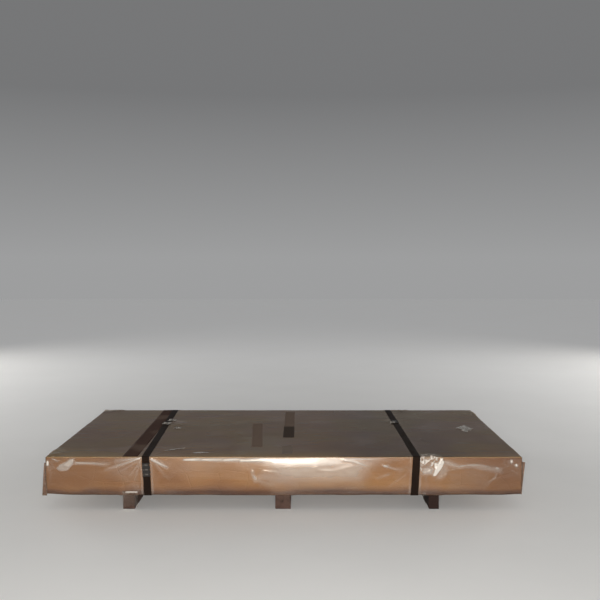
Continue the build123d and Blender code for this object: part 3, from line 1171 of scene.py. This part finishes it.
class Skin:
    """The wrap's nominal surface as a grid, and the relief on each of its faces."""

    def __init__(self):
        self.z = LOW.z + WRAP_FOOT + (HEIGHT - WRAP_HEAD - WRAP_FOOT) * WRAP_RISE
        self.y_top = LOW.y + WRAP_HEAD + (DEPTH - 2 * WRAP_HEAD) * WRAP_ACROSS
        self.y_foot = LOW.y + WRAP_FOOT + (DEPTH - 2 * WRAP_FOOT) * WRAP_ACROSS
        self.rows = self.girth()
        self.around = len(self.rows)
        self.points, self.outward, self.faces = self.build()
        self.relief = {}

    def girth(self):
        """The section: each point's y and z, its outward direction, and its pull-in at the ends."""
        blend = WRAP_FOOT + (WRAP_HEAD - WRAP_FOOT) * WRAP_RISE
        turns = np.linspace(0, 1, WRAP_CORNER + 1)[1:-1]
        rows = []

        def corner(y, z, radius, start):
            for turn in turns:
                angle = math.radians(start - 90 * turn)
                c, s = math.cos(angle), math.sin(angle)
                rows.append((y + radius * c, z + radius * s, c, s, radius))

        rows += [(LOW.y, a, -1, 0, b) for a, b in zip(self.z, blend)]
        corner(LOW.y + WRAP_HEAD, HIGH.z - WRAP_HEAD, WRAP_HEAD, 180)
        rows += [(a, HIGH.z, 0, 1, WRAP_HEAD) for a in self.y_top]
        corner(HIGH.y - WRAP_HEAD, HIGH.z - WRAP_HEAD, WRAP_HEAD, 90)
        rows += [(HIGH.y, a, 1, 0, b) for a, b in zip(self.z[::-1], blend[::-1])]
        corner(HIGH.y - WRAP_FOOT, LOW.z + WRAP_FOOT, WRAP_FOOT, 0)
        rows += [(a, LOW.z, 0, -1, WRAP_FOOT) for a in self.y_foot[::-1]]
        corner(LOW.y + WRAP_FOOT, LOW.z + WRAP_FOOT, WRAP_FOOT, -90)
        return np.array(rows)

    def rings(self):
        """Each ring's place along X, its lean towards the end, and how far it is drawn in."""
        turns = [math.pi / 2 * k / WRAP_END_TURNS for k in range(1, WRAP_END_TURNS + 1)]
        left = []
        for turn in turns[::-1]:
            lean = math.sin(turn)
            left.append((LOW.x + WRAP_HEAD * (1 - lean), -lean, 1 - math.cos(turn)))
        right = [(-x, -lean, drawn) for x, lean, drawn in left[::-1]]
        return left + [(x, 0.0, 0.0) for x in WRAP_ALONG] + right

    def build(self):
        """The grid's points, their outward directions, and its faces."""
        rings = self.rings()
        points, outward, faces = [], [], []
        for x, lean, drawn in rings:
            inset = self.rows[:, 4] * drawn
            y = self.rows[:, 0] - self.rows[:, 2] * inset
            z = self.rows[:, 1] - self.rows[:, 3] * inset
            points.append(np.column_stack([np.full(self.around, x), y, z]))
            leans = np.full(self.around, lean)
            flat = math.sqrt(max(0.0, 1 - lean * lean))
            outward.append(np.column_stack([leans, self.rows[:, 2] * flat, self.rows[:, 3] * flat]))
        for ring in range(len(rings) - 1):
            a, b = ring * self.around, (ring + 1) * self.around
            for k in range(self.around):
                n = (k + 1) % self.around
                faces.append((a + k, b + k, b + n, a + n))
        for x, way in ((LOW.x, -1.0), (HIGH.x, 1.0)):
            start = sum(len(block) for block in points)
            share = WRAP_RISE[:, None]
            y = self.y_foot[None, :] * (1 - share) + self.y_top[None, :] * share
            z = np.repeat(self.z[:, None], y.shape[1], axis=1)
            points.append(np.column_stack([np.full(y.size, x), y.ravel(), z.ravel()]))
            outward.append(np.tile((way, 0.0, 0.0), (y.size, 1)))
            faces += grid_faces(*y.shape, start, flip=way < 0)
        return np.concatenate(points), np.concatenate(outward), faces

    def keep(self, layer, relief):
        """Remembers a layer's relief, face by face, so that other sheets can lie on it."""
        ups, wide = len(self.z), len(self.y_top)
        ringed = relief[: len(self.rings()) * self.around].reshape(-1, self.around)
        ringed = ringed[WRAP_END_TURNS:-WRAP_END_TURNS]
        caps = relief[len(self.rings()) * self.around :].reshape(2, ups, wide)
        top = ups + WRAP_CORNER - 1
        self.relief[layer] = {
            "front": (WRAP_ALONG, self.z, ringed[:, :ups]),
            "top": (WRAP_ALONG, self.y_top, ringed[:, top : top + wide]),
            "left": (self.y_top, self.z, caps[0].T),
            "right": (self.y_top, self.z, caps[1].T),
        }

    def lift(self, face, u, v, layer="film"):
        """A layer's relief at places on a face, in millimetres."""
        us, vs, table = self.relief[layer][face]
        i = np.clip(np.searchsorted(us, u) - 1, 0, len(us) - 2)
        j = np.clip(np.searchsorted(vs, v) - 1, 0, len(vs) - 2)
        s = np.clip((u - us[i]) / (us[i + 1] - us[i]), 0, 1)
        t = np.clip((v - vs[j]) / (vs[j + 1] - vs[j]), 0, 1)
        near = table[i, j] * (1 - t) + table[i, j + 1] * t
        far = table[i + 1, j] * (1 - t) + table[i + 1, j + 1] * t
        return near * (1 - s) + far * s

    def on(self, face, u, v, above, layer="film"):
        """Points on a layer's relief on a face, raised above it by some millimetres."""
        stand = (self.lift(face, u, v, layer) + above) * MM
        if face == "top":
            return np.stack([u, v, HIGH.z + stand], axis=-1)
        way, end = (-1, LOW.x) if face == "left" else (1, HIGH.x)
        points = np.stack([end + way * stand, u, v], axis=-1)
        points[..., 2] -= hang_of(points.reshape(-1, 3)).reshape(u.shape) * MM
        return points


def grid_faces(rows, columns, start=0, flip=False):
    """The four-cornered faces of a grid of points, row after row."""
    faces = []
    for i in range(rows - 1):
        for j in range(columns - 1):
            p = start + i * columns + j
            quad = (p, p + 1, p + columns + 1, p + columns)
            faces.append(quad[::-1] if flip else quad)
    return faces


# Meshes and sheets

# Points nearer than this are merged, in metres
MERGE_WITHIN = 1e-6


def mesh_piece(name, points, faces, material, values=None):
    """A smooth mesh at the origin, its doubles merged, its normals outward, riding on the packet."""
    mesh = bpy.data.meshes.new(name)
    mesh.from_pydata(np.asarray(points).tolist(), [], faces)
    for key, numbers in (values or {}).items():
        layer = mesh.attributes.new(key, "FLOAT", "POINT")
        layer.data.foreach_set("value", np.asarray(numbers, np.float32))
    work = bmesh.new()
    work.from_mesh(mesh)
    bmesh.ops.remove_doubles(work, verts=work.verts, dist=MERGE_WITHIN)
    bmesh.ops.recalc_face_normals(work, faces=work.faces)
    work.to_mesh(mesh)
    work.free()
    mesh.materials.append(material)
    mesh.shade_smooth()
    piece = bpy.data.objects.new(name, mesh)
    bpy.context.scene.collection.objects.link(piece)
    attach(piece, "root")
    return piece


class Sheets:
    """Thin closed sheets gathered into one mesh."""

    def __init__(self):
        self.points, self.faces, self.values = [], [], {}
        self.count = 0

    def add(self, inner, outer, **values):
        """A sheet between two grids of points, with its rim closed."""
        rows, columns = inner.shape[:2]
        size = rows * columns
        first, second = self.count, self.count + size
        self.faces += grid_faces(rows, columns, first, flip=True)
        self.faces += grid_faces(rows, columns, second)
        index = np.arange(size).reshape(rows, columns)
        rim = [*index[0], *index[1:, -1], *index[-1, -2::-1], *index[-2:0:-1, 0]]
        for a, b in zip(rim, rim[1:] + rim[:1]):
            self.faces.append((first + a, first + b, second + b, second + a))
        self.points += [inner.reshape(-1, 3), outer.reshape(-1, 3)]
        for key, value in values.items():
            flat = np.broadcast_to(value, (rows, columns)).ravel()
            self.values.setdefault(key, []).extend([flat, flat])
        self.count += 2 * size

    def piece(self, name, material, slot):
        """The gathered sheets as one mesh object."""
        values = {key: np.concatenate(lists) for key, lists in self.values.items()}
        return mesh_piece(name, np.concatenate(self.points), self.faces, material, values)


def quad_grid(corners, rows, columns):
    """Places spread over a four-cornered patch: its u and its v, as two grids."""
    a, b, c, d = (np.array(corner, float) for corner in corners)
    s = np.linspace(0, 1, rows)[:, None, None]
    t = np.linspace(0, 1, columns)[None, :, None]
    grid = (a * (1 - t) + b * t) * (1 - s) + (d * (1 - t) + c * t) * s
    return grid[..., 0], grid[..., 1]


# Pieces


# How far in from the front the top's paper is painted pale, a painted highlight along the front edge,
# and from the front and the back it is worn
PALE_REACH = 0.075
WORN_REACH = 0.016
# How round an edge counts at most, as what its outward direction lacks of any one axis
ROUNDEST = 0.3


def make_wrap(skin, paper, film):
    """The paper and the film, on the same grid, so that one never cuts the other."""
    relief = WrapRelief(skin.points, skin.outward)
    paper_mm, film_mm = relief.solve()
    rounded = np.clip(1 - np.abs(skin.outward).max(axis=1), 0, ROUNDEST)
    near_edge = np.exp(-edge_distance(skin.points) / WORN_REACH)
    worn = np.maximum(rounded * 2.5, relief.top * 0.8 * near_edge)
    near_front = np.exp(-(skin.points[:, 1] - LOW.y) / PALE_REACH)
    paper_look = {"worn": worn, "pale": relief.top * near_front, "soiled": relief.soiled()}
    # Painted highlight: the film is made milky along the top front edge, most near the middle.
    near_middle = 0.5 + np.exp(-(((skin.points[:, 0] + 0.12) / 0.3) ** 2))
    painted_edge_highlight = rounded / ROUNDEST * relief.top * relief.front
    film_look = {"haze": np.maximum(relief.haze, 0.4 * painted_edge_highlight * near_middle)}
    inner, outer = relief.moved(paper_mm, True), relief.moved(film_mm, False)
    paper_wrap = mesh_piece("kraft_paper_wrap", inner, skin.faces, paper, paper_look)
    film_wrap = mesh_piece("clear_film_wrap", outer, skin.faces, film, film_look)
    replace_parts(paper_wrap, "kraft_wrap")
    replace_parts(film_wrap, "film_wrap")
    skin.keep("paper", paper_mm)
    skin.keep("film", film_mm)


# How far the tape lies off the film, and its thickness, in millimetres
TAPE_LIFT = 0.35
TAPE_THICKNESS = 0.25
# Half the soft end of a doubled part and the length of a grid cell, in metres
DOUBLED_SOFT = 0.004
TAPE_STEP = 0.006
TAPE_COLUMNS = 10


class Strip(NamedTuple):
    """Tape on the top, in metres: its left edge at its near and its far end, its width, where it
    starts and ends, how thick and how faint it looks, and how far back it lies double."""

    near_left: float
    far_left: float
    width: float
    near: float
    far: float
    thick: float
    faint: float = 0.0
    doubled_to: float | None = None

    def corners(self):
        """The strip's corners, from the near left one round."""
        return (
            (self.near_left, self.near),
            (self.near_left + self.width, self.near),
            (self.far_left + self.width, self.far),
            (self.far_left, self.far),
        )


# A full strip at the left, one at the middle with its near part doubled, a patch and a faint bit
STRIPS = [
    Strip(-0.683, -0.683, 0.064, LOW.y + WRAP_HEAD, HIGH.y - WRAP_HEAD, thick=1.0),
    Strip(-0.012, -0.012, 0.052, -0.150, 0.4526, thick=0.2, faint=0.1, doubled_to=0.084),
    Strip(-0.149, -0.172, 0.050, -0.3294, 0.1506, thick=0.1),
    Strip(-0.010, -0.011, 0.046, -0.455, -0.315, thick=0.1, faint=0.65),
]


def lay_tape(sheets, skin, face, places, thick, faint=0.0, doubled_to=None, lift=TAPE_LIFT):
    """A strip of tape that follows the film under it, doubled up to a place along it."""
    u, v = places
    doubled = 0.0
    if doubled_to is not None:
        doubled = 1 - soft_step(v, doubled_to - DOUBLED_SOFT, doubled_to + DOUBLED_SOFT)
    inner = skin.on(face, u, v, lift)
    outer = skin.on(face, u, v, lift + TAPE_THICKNESS)
    patchy = soft_step(cloud(inner.reshape(-1, 3), 0.13, 6.1), 0.0, 0.45).reshape(u.shape)
    sheets.add(inner, outer, thick=thick * (1 - 0.45 * patchy), doubled=doubled, faint=faint)


def make_tapes(skin, tape):
    """The strips of tape on the top."""
    sheets = Sheets()
    for strip in STRIPS:
        rows = int((strip.far - strip.near) / TAPE_STEP)
        places = quad_grid(strip.corners(), rows, TAPE_COLUMNS)
        lay_tape(sheets, skin, "top", places, strip.thick, strip.faint, strip.doubled_to)
    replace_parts(sheets.piece("brown_tape_strips", tape, "packing_tape"), "tape_strips")


# How far an end's flaps reach up and down, and the tape's half width and half length, in metres
END_FLAP_REACH = 0.090
END_TAPE_HALF = 0.024
END_TAPE_REACH = 0.32
# How far the tape lies off the end's film, over the flaps, in millimetres
END_TAPE_LIFT = 2.6
END_TAPE_GRID = (14, 110)
# Each layer's flaps: how high the lower and the upper one lie on it, and how far they curl
END_FLAP_LIFTS = {"paper": (0.3, 0.75, 0.15), "film": (0.35, 0.95, 1.2)}
END_FLAP_THICKNESS = 0.3
END_FLAP_GRID = (26, 110)
# The share of a flap's reach from which on it curls up
CURL_FROM = 0.7


def end_flap(skin, face, layer, edge, reach, lift, curl):
    """A trapezoid flap on an end: its two sides, and how near each point is to the free edge."""
    wide = DEPTH / 2 - WRAP_HEAD
    narrow = wide - abs(reach)
    corners = ((-wide, edge), (wide, edge), (narrow, edge + reach), (-narrow, edge + reach))
    u, v = quad_grid(corners, *END_FLAP_GRID)
    share = np.abs(v - edge) / abs(reach)
    lift = lift + curl * np.clip(share - CURL_FROM, 0, 1) * (1 + np.sin(u * 37 + 50 * edge))
    inner = skin.on(face, u, v, lift, layer)
    outer = skin.on(face, u, v, lift + END_FLAP_THICKNESS, layer)
    return inner, outer, soft_step(share, 0.95, 1.0)


def make_ends(skin, paper, film, tape):
    """The folded ends: flaps of paper under flaps of film, taped where they meet."""
    papers, films, tapes = Sheets(), Sheets(), Sheets()
    foot, head = LOW.z + WRAP_FOOT, HIGH.z - WRAP_HEAD
    for face in ("left", "right"):
        for layer, (lower, upper, curl) in END_FLAP_LIFTS.items():
            for edge, reach, lift in ((foot, END_FLAP_REACH, lower), (head, -END_FLAP_REACH, upper)):
                inner, outer, rim = end_flap(skin, face, layer, edge, reach, lift, curl)
                if layer == "paper":
                    # The lower paper flaps are painted darker, a painted shade near the foot.
                    papers.add(inner, outer, worn=rim, pale=0.0, soiled=0.25 * (reach > 0))
                else:
                    films.add(inner, outer, haze=0.03 + 0.22 * rim)
        middle = head - END_FLAP_REACH
        low, high = middle - END_TAPE_HALF, middle + END_TAPE_HALF
        reach = END_TAPE_REACH
        corners = ((-reach, low), (reach, low), (reach, high), (-reach, high))
        lay_tape(tapes, skin, face, quad_grid(corners, *END_TAPE_GRID), thick=0.5, lift=END_TAPE_LIFT)
    papers.piece("kraft_paper_end_flaps", paper, "kraft_paper")
    films.piece("clear_film_end_flaps", film, "clear_film")
    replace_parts(tapes.piece("brown_end_tapes", tape, "packing_tape"), "end_tapes")


class Ear(NamedTuple):
    """A folded corner that stands out past an end: heights and reaches in millimetres."""

    end: int
    side: int
    top: float
    reach_at_top: float
    bottom: float
    reach_at_bottom: float
    haze: float
    soiled: float


# Each ear's last number paints its paper dark, a painted shade.
EARS = [
    Ear(-1, -1, 200, 8, 57, 19, 0.02, 0.8),
    Ear(1, -1, 203, 14, 62, 1, 0.02, 0.75),
    Ear(-1, 1, 205, 14, 66, 6, 0.06, 0.8),
    Ear(1, 1, 198, 5, 60, 17, 0.08, 0.6),
]

EAR_ROWS = 34
EAR_COLUMNS = 9


def make_ears(paper, film):
    """The corners' ears of film, with the paper's folded edge along the rim."""
    papers, films = Sheets(), Sheets()
    down = np.linspace(0, 1, EAR_ROWS)[:, None]
    out = np.linspace(0, 1, EAR_COLUMNS)[None, :]
    # 0 * out and 0 * down spread a column or a row of values over the whole grid
    for number, ear in enumerate(EARS):
        reach = ear.reach_at_top + (ear.reach_at_bottom - ear.reach_at_top) * down
        for sheets, short, behind, thick in ((papers, 0.8, 1.2, 0.6), (films, 0.0, 0.4, 0.25)):
            away = reach - short - (reach + 1.5) * (1 - out)
            x = ear.end * (HIGH.x + away * MM)
            z = (ear.top + (ear.bottom - ear.top) * down - 3 * out * (1 - down)) * MM + 0 * out
            waver = 1.4 * out * np.sin(down * 5 + 2 * number)
            y = ear.side * (HIGH.y + (waver - behind - 2.0) * MM) + 0 * out
            sides = [np.stack([x, y + ear.side * t * MM, z], axis=-1) for t in (0, thick)]
            rim = soft_step(out + 0 * down, 0.86, 1.0)
            if sheets is papers:
                sheets.add(*sides, worn=0.0, pale=0.0, soiled=ear.soiled)
            else:
                foot = soft_step(down + 0 * out, 0.93, 1.0)
                sheets.add(*sides, haze=ear.haze * (1 + 0.4 * rim + foot))
    papers.piece("kraft_paper_ears", paper, "kraft_paper")
    films.piece("clear_film_ears", film, "clear_film")


class Drape(NamedTuple):
    """Film that hangs from the front's lower edge: its sides, top and bottom in metres, and how
    close its pleats are."""

    left: float
    right: float
    top: float
    bottom: float
    pleats: float


DRAPES = [
    Drape(left=-0.684, right=-0.620, top=0.077, bottom=0.012, pleats=9),
    Drape(left=0.582, right=0.600, top=0.072, bottom=0.056, pleats=30),
]

DRAPE_ROWS = 26
DRAPE_COLUMNS = 44

# The thickness of a loose sheet of film, in millimetres
SHEET_THICKNESS = 0.25


def make_drapes(skin, film):
    """Loose film over the timbers' front ends, made milky along its top fold as a painted highlight."""
    sheets = Sheets()
    fall = np.linspace(0, 1, DRAPE_ROWS)[:, None]
    for number, drape in enumerate(DRAPES):
        across = np.linspace(drape.left, drape.right, DRAPE_COLUMNS)[None, :]
        ragged = 1 + 0.05 * np.sin(across * 90 + number) + 0.02 * np.sin(across * 331)
        z = drape.top - (drape.top - drape.bottom) * fall * ragged
        # In millimetres: it lies on the front's film, comes in over the timber, and is pleated below
        cling = skin.lift("front", across, np.full_like(across, drape.top)) + 1.2
        swing = np.sin(across * drape.pleats * 6 + 2.5 * fall)
        pleats = fall * swing * soft_step(fall, 0, 0.15)
        stand = np.maximum(cling * (1 - 0.5 * soft_step(fall, 0.35, 0.8)), 0.8) + pleats + 1.0
        x = across + 0.0012 * np.sin(fall * 9)
        sides = [np.stack([x, LOW.y - (stand + t) * MM, z], axis=-1) for t in (0, SHEET_THICKNESS)]
        past_left = soft_step(across, drape.left + 0.01, drape.left + 0.02)
        top_fold = (1 - soft_step(fall, 0.03, 0.1)) * past_left
        sheets.add(*sides, haze=0.75 * top_fold + 0.025 * (0.5 + 0.5 * swing) ** 4)
    sheets.piece("clear_film_drapes", film, "clear_film")


class Scrap(NamedTuple):
    """A loose bit of film on the top: corners, height, crumpling and facet size in millimetres."""

    corners: tuple
    height: float
    rough: float
    facet: float
    haze: float


SCRAPS = [
    Scrap(((838, 58), (864, -40), (917, 38), (890, 117)), 1.4, 1.6, 34, 0.26),
    # The next two thin strips are milky sheets that paint the highlight streaks of the top's wrinkles.
    Scrap(((-396, -443), (-327, -442), (-330, -425), (-392, -426)), 0.5, 0.3, 34, 0.33),
    Scrap(((-520, -411), (-440, -358), (-443, -345), (-522, -398)), 0.5, 0.3, 34, 0.25),
    Scrap(((-628, 122), (-588, 112), (-582, 158), (-622, 170)), 3.4, 4.0, 11, 0.06),
    Scrap(((-612, 204), (-574, 198), (-570, 240), (-606, 248)), 2.4, 4.5, 11, 0.06),
    Scrap(((-556, 34), (-520, 30), (-518, 62), (-550, 68)), 1.6, 3.0, 11, 0.06),
    Scrap(((522, 148), (550, 146), (552, 180), (528, 184)), 2.4, 3.5, 10, 0.06),
]

SCRAP_GRID = 46
# A scrap goes over a strap and its seal, this many millimetres above the film
OVER_STRAP = 4.3


def make_scraps(skin, film):
    """Bits of film that lie on the top, four of them crumpled at the seals."""
    sheets = Sheets()
    edge = np.sin(np.pi * np.linspace(0, 1, SCRAP_GRID))
    inside = soft_step(np.minimum(edge[:, None], edge[None, :]), 0.0, 0.4)
    for number, scrap in enumerate(SCRAPS):
        u, v = quad_grid(np.array(scrap.corners) * MM, SCRAP_GRID, SCRAP_GRID)
        flat = np.column_stack([u.ravel(), v.ravel(), np.full(u.size, number * 1.0)])
        ragged = 0.004 * scrap.facet / 20
        u = u + ragged * cloud(flat, 0.02, 5.5).reshape(u.shape)
        v = v + ragged * cloud(flat, 0.02, 8.5).reshape(u.shape)
        facets, tone = (grid.reshape(u.shape) for grid in crumple(flat, scrap.facet * MM, number))
        near = np.minimum(*(np.abs(u - line.x_at(v, HIGH.z)) for line in STRAPS))
        over = OVER_STRAP * (1 - soft_step(near, BESIDE_STRAP, 0.032)) + 1.5 * facets
        above = np.maximum(0.5 + (scrap.height + scrap.rough * facets) * inside, over)
        glint = min(0.5, 0.1 + 0.14 * scrap.rough)
        shine = scrap.haze + glint * soft_step(tone, 0.7, 0.8)
        inner, outer = (skin.on("top", u, v, above + t) for t in (0, SHEET_THICKNESS))
        sheets.add(inner, outer, haze=shine)
    sheets.piece("clear_film_scraps", film, "clear_film")


def make_floor():
    """A wide plane under the packet."""
    half = FLOOR_HALF
    corners = [(-half, -half, 0), (half, -half, 0), (half, half, 0), (-half, half, 0)]
    mesh = bpy.data.meshes.new("floor")
    mesh.from_pydata(corners, [], [(0, 1, 2, 3)])
    mesh.materials.append(studio_floor())
    floor = bpy.data.objects.new("floor", mesh)
    bpy.context.scene.collection.objects.link(floor)


def dress(node, material):
    """Gives a carried-over node its finish."""
    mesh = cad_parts[node].data
    mesh.materials.clear()
    mesh.materials.append(material)


def make_strap(node, line):
    """A strap from the frame, its lower run moved down with the wrap."""
    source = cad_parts[node]
    mesh = source.data.copy()
    places = np.array([source.matrix_world @ vertex.co for vertex in mesh.vertices])
    places[:, 2] -= hang_of(places) * MM
    mesh.vertices.foreach_set("co", places.ravel())
    mesh.materials.clear()
    mesh.materials.append(strap_black(node + "_black", line))
    strap = bpy.data.objects.new(node.replace("strap", "steel_strap"), mesh)
    bpy.context.scene.collection.objects.link(strap)
    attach(strap, "root")
    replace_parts(strap, node)


# Repeated and rule-made pieces: Geometry Nodes, with named inputs and a fixed seed


class Recipe(Tree):
    """A Geometry Nodes tree with named inputs, run on an empty mesh to make a plain one."""

    TYPES = {float: "NodeSocketFloat", int: "NodeSocketInt", tuple: "NodeSocketVector"}

    def __init__(self, name, **inputs):
        super().__init__(bpy.data.node_groups.new(name, "GeometryNodeTree"))
        self.name = name
        for key, value in inputs.items():
            kind = self.TYPES.get(type(value), "NodeSocketMaterial")
            self.tree.interface.new_socket(key, in_out="INPUT", socket_type=kind)
        self.tree.interface.new_socket("Geometry", in_out="OUTPUT", socket_type="NodeSocketGeometry")
        self.start = self.tree.nodes.new("NodeGroupInput")

    def input(self, name):
        """One of the tree's named inputs."""
        return Wire(self, self.start.outputs[name])

    def done(self, geometry, finish):
        """Ends the tree: instances realized, finish set."""
        real = self.node("RealizeInstances", {0: geometry})
        dressed = self.node("SetMaterial", {"Geometry": real, "Material": finish})
        self.node("NodeGroupOutput", {"Geometry": dressed})

    def make(self, name, **values):
        """Runs the tree with some values and keeps the result as a plain mesh object."""
        carrier = bpy.data.objects.new(name, bpy.data.meshes.new(name))
        bpy.context.scene.collection.objects.link(carrier)
        modifier = carrier.modifiers.new("recipe", "NODES")
        modifier.node_group = self.tree
        for item in self.tree.interface.items_tree:
            if item.in_out == "INPUT":
                modifier[item.identifier] = values[item.name]
        graph = bpy.context.evaluated_depsgraph_get()
        mesh = bpy.data.meshes.new_from_object(carrier.evaluated_get(graph))
        carrier.modifiers.clear()
        carrier.data = mesh
        mesh.name = name
        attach(carrier, "root")
        return carrier


def timber_recipe(finish):
    """A sawn timber: a fine block, roughened inwards, its long edges chipped."""
    inputs = {"Size": (1.0,), "Centre": (1.0,), "Rough": 1.0, "Chips": 1.0, "Seed": 1.0}
    recipe = Recipe("sawn_timber_block", **inputs, Finish=finish)
    size, centre = recipe.input("Size"), recipe.input("Centre")
    counts = {"Vertices X": 15, "Vertices Y": 220, "Vertices Z": 21}
    block = recipe.node("MeshCube", {"Size": size, **counts}, out="Mesh")
    place = recipe.node("InputPosition")
    share = recipe.node("VectorMath", {0: place, 1: size}, operation="DIVIDE")
    x, z = (abs(recipe.node("SeparateXYZ", {0: share}, out=axis)) * 2 for axis in "XZ")
    edge = x.upto(z).smooth(0.86, 1.0)
    moved = recipe.node("VectorMath", {0: place, 1: (1.0, 0.25, 1.0)}, operation="MULTIPLY")
    seeds = {"Vector": moved, "W": recipe.input("Seed"), "Detail": 3.0}
    sawn = recipe.node("TexNoise", {**seeds, "Scale": 60.0}, noise_dimensions="4D")
    chipped = recipe.node("TexNoise", {**seeds, "Scale": 45.0}, noise_dimensions="4D").smooth(0.5, 0.75)
    depth = sawn * recipe.input("Rough") + edge * chipped * recipe.input("Chips")
    normal = recipe.node("InputNormal")
    inward = recipe.node("VectorMath", {0: normal, "Scale": depth * -1.0}, operation="SCALE")
    rough = recipe.node("SetPosition", {"Geometry": block, "Offset": inward})
    seated = recipe.node("Transform", {"Geometry": rough, "Translation": centre})
    smooth = recipe.node("SetShadeSmooth", {0: seated})
    recipe.done(smooth, recipe.input("Finish"))
    return recipe


# Each timber's dark, light and grey tone, from the left one to the right one
TIMBER_TONES = {
    "timber_old": ((0.042, 0.023, 0.017), (0.104, 0.058, 0.044), (0.155, 0.106, 0.084)),
    "timber_red": ((0.045, 0.023, 0.017), (0.105, 0.058, 0.045), (0.135, 0.088, 0.068)),
    "timber_dark": ((0.012, 0.005, 0.004), (0.026, 0.011, 0.008), (0.044, 0.022, 0.017)),
}


def make_skids():
    """The three timbers, each of its own size, wear and tone."""
    finishes = [sawn_timber(name, *tones) for name, tones in TIMBER_TONES.items()]
    recipe = timber_recipe(finishes[0])
    for number, (node, finish) in enumerate(zip(SKIDS, finishes)):
        low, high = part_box(node)
        timber = recipe.make(
            node.replace("skid", "timber"),
            Size=high - low,
            Centre=(low + high) / 2,
            Rough=1.4 * MM,
            Chips=7.0 * MM,
            Seed=3.0 + 5 * number,
            Finish=finish,
        )
        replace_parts(timber, node)


# A bent tab's length, width and thickness in metres, and how far it is bent up, in degrees
TAB = (0.0078, 0.0062, 0.0009)
TAB_BEND = 24.0


def tab_recipe(finish):
    """The tabs that the notches leave: a pair for each row, hinged inwards and bent up."""
    sizes = {"Pitch": 1.0, "Tab": (1.0,), "Hinge": 1.0, "Lift": 1.0, "Bend": 1.0}
    places = {"Place": (1.0,), "Turn": (1.0,)}
    recipe = Recipe("bent_tabs", Rows=1, **sizes, **places, Finish=finish)
    size = recipe.input("Tab")
    length = recipe.node("SeparateXYZ", {0: size}, out="X")
    tab = recipe.node("MeshCube", {"Size": size, "Vertices X": 5, "Vertices Y": 4}, out="Mesh")
    half = recipe.node("CombineXYZ", {"X": length / 2})
    tab = recipe.node("Transform", {"Geometry": tab, "Translation": half})
    tilt = recipe.node("CombineXYZ", {"Y": recipe.input("Bend") * -1.0})
    hinge = recipe.node("CombineXYZ", {"X": recipe.input("Hinge"), "Z": recipe.input("Lift")})
    tab = recipe.node("Transform", {"Geometry": tab, "Translation": hinge, "Rotation": tilt})
    other = recipe.node("Transform", {"Geometry": tab, "Rotation": (0, 0, math.pi)})
    join = recipe.node("JoinGeometry", {0: tab})
    recipe.tree.links.new(other.socket, join.socket.node.inputs[0])
    count, pitch = recipe.input("Rows"), recipe.input("Pitch")
    start = recipe.node("CombineXYZ", {"Y": pitch * (count - 1) * -0.5})
    step = recipe.node("CombineXYZ", {"Y": pitch})
    rows = recipe.node("MeshLine", {"Count": count, "Start Location": start, "Offset": step})
    pairs = recipe.node("InstanceOnPoints", {"Points": rows, "Instance": join})
    real = recipe.node("RealizeInstances", {0: pairs})
    place = {"Translation": recipe.input("Place"), "Rotation": recipe.input("Turn")}
    recipe.done(recipe.node("Transform", {"Geometry": real, **place}), recipe.input("Finish"))
    return recipe


def make_crimp_tabs(finish):
    """The bent tabs of each seal's notches."""
    recipe = tab_recipe(finish)
    for node, crimp in CRIMPS.items():
        tabs = recipe.make(
            node + "_tabs",
            Rows=crimp.rows,
            Pitch=NOTCH_PITCH,
            Tab=TAB,
            Hinge=NOTCH_TIP,
            Lift=SEAL_TOP - TAB[2] / 2,
            Bend=math.radians(TAB_BEND),
            Place=crimp.middle(),
            Turn=crimp.turn(),
            Finish=finish,
        )


make_camera()
make_lights()
make_world()
make_floor()

skin = Skin()
paper_finish = kraft_paper()
film_finish = clear_film("clear_film")
loose_finish = clear_film("clear_film_loose", dust_and_warm_reflection=0.0, mirror_share=0.8)
tape_finish = packing_tape()
make_wrap(skin, paper_finish, film_finish)
make_tapes(skin, tape_finish)
make_ends(skin, paper_finish, film_finish, tape_finish)
make_ears(paper_finish, loose_finish)
make_drapes(skin, loose_finish)
make_scraps(skin, loose_finish)
make_skids()
make_crimp_tabs(crimp_steel())

dress("steel_plates", plate_steel())
make_strap("strap_left", LEFT_STRAP)
make_strap("strap_right", RIGHT_STRAP)
for node, crimp in CRIMPS.items():
    dress(node, seal_black(node + "_black", crimp))
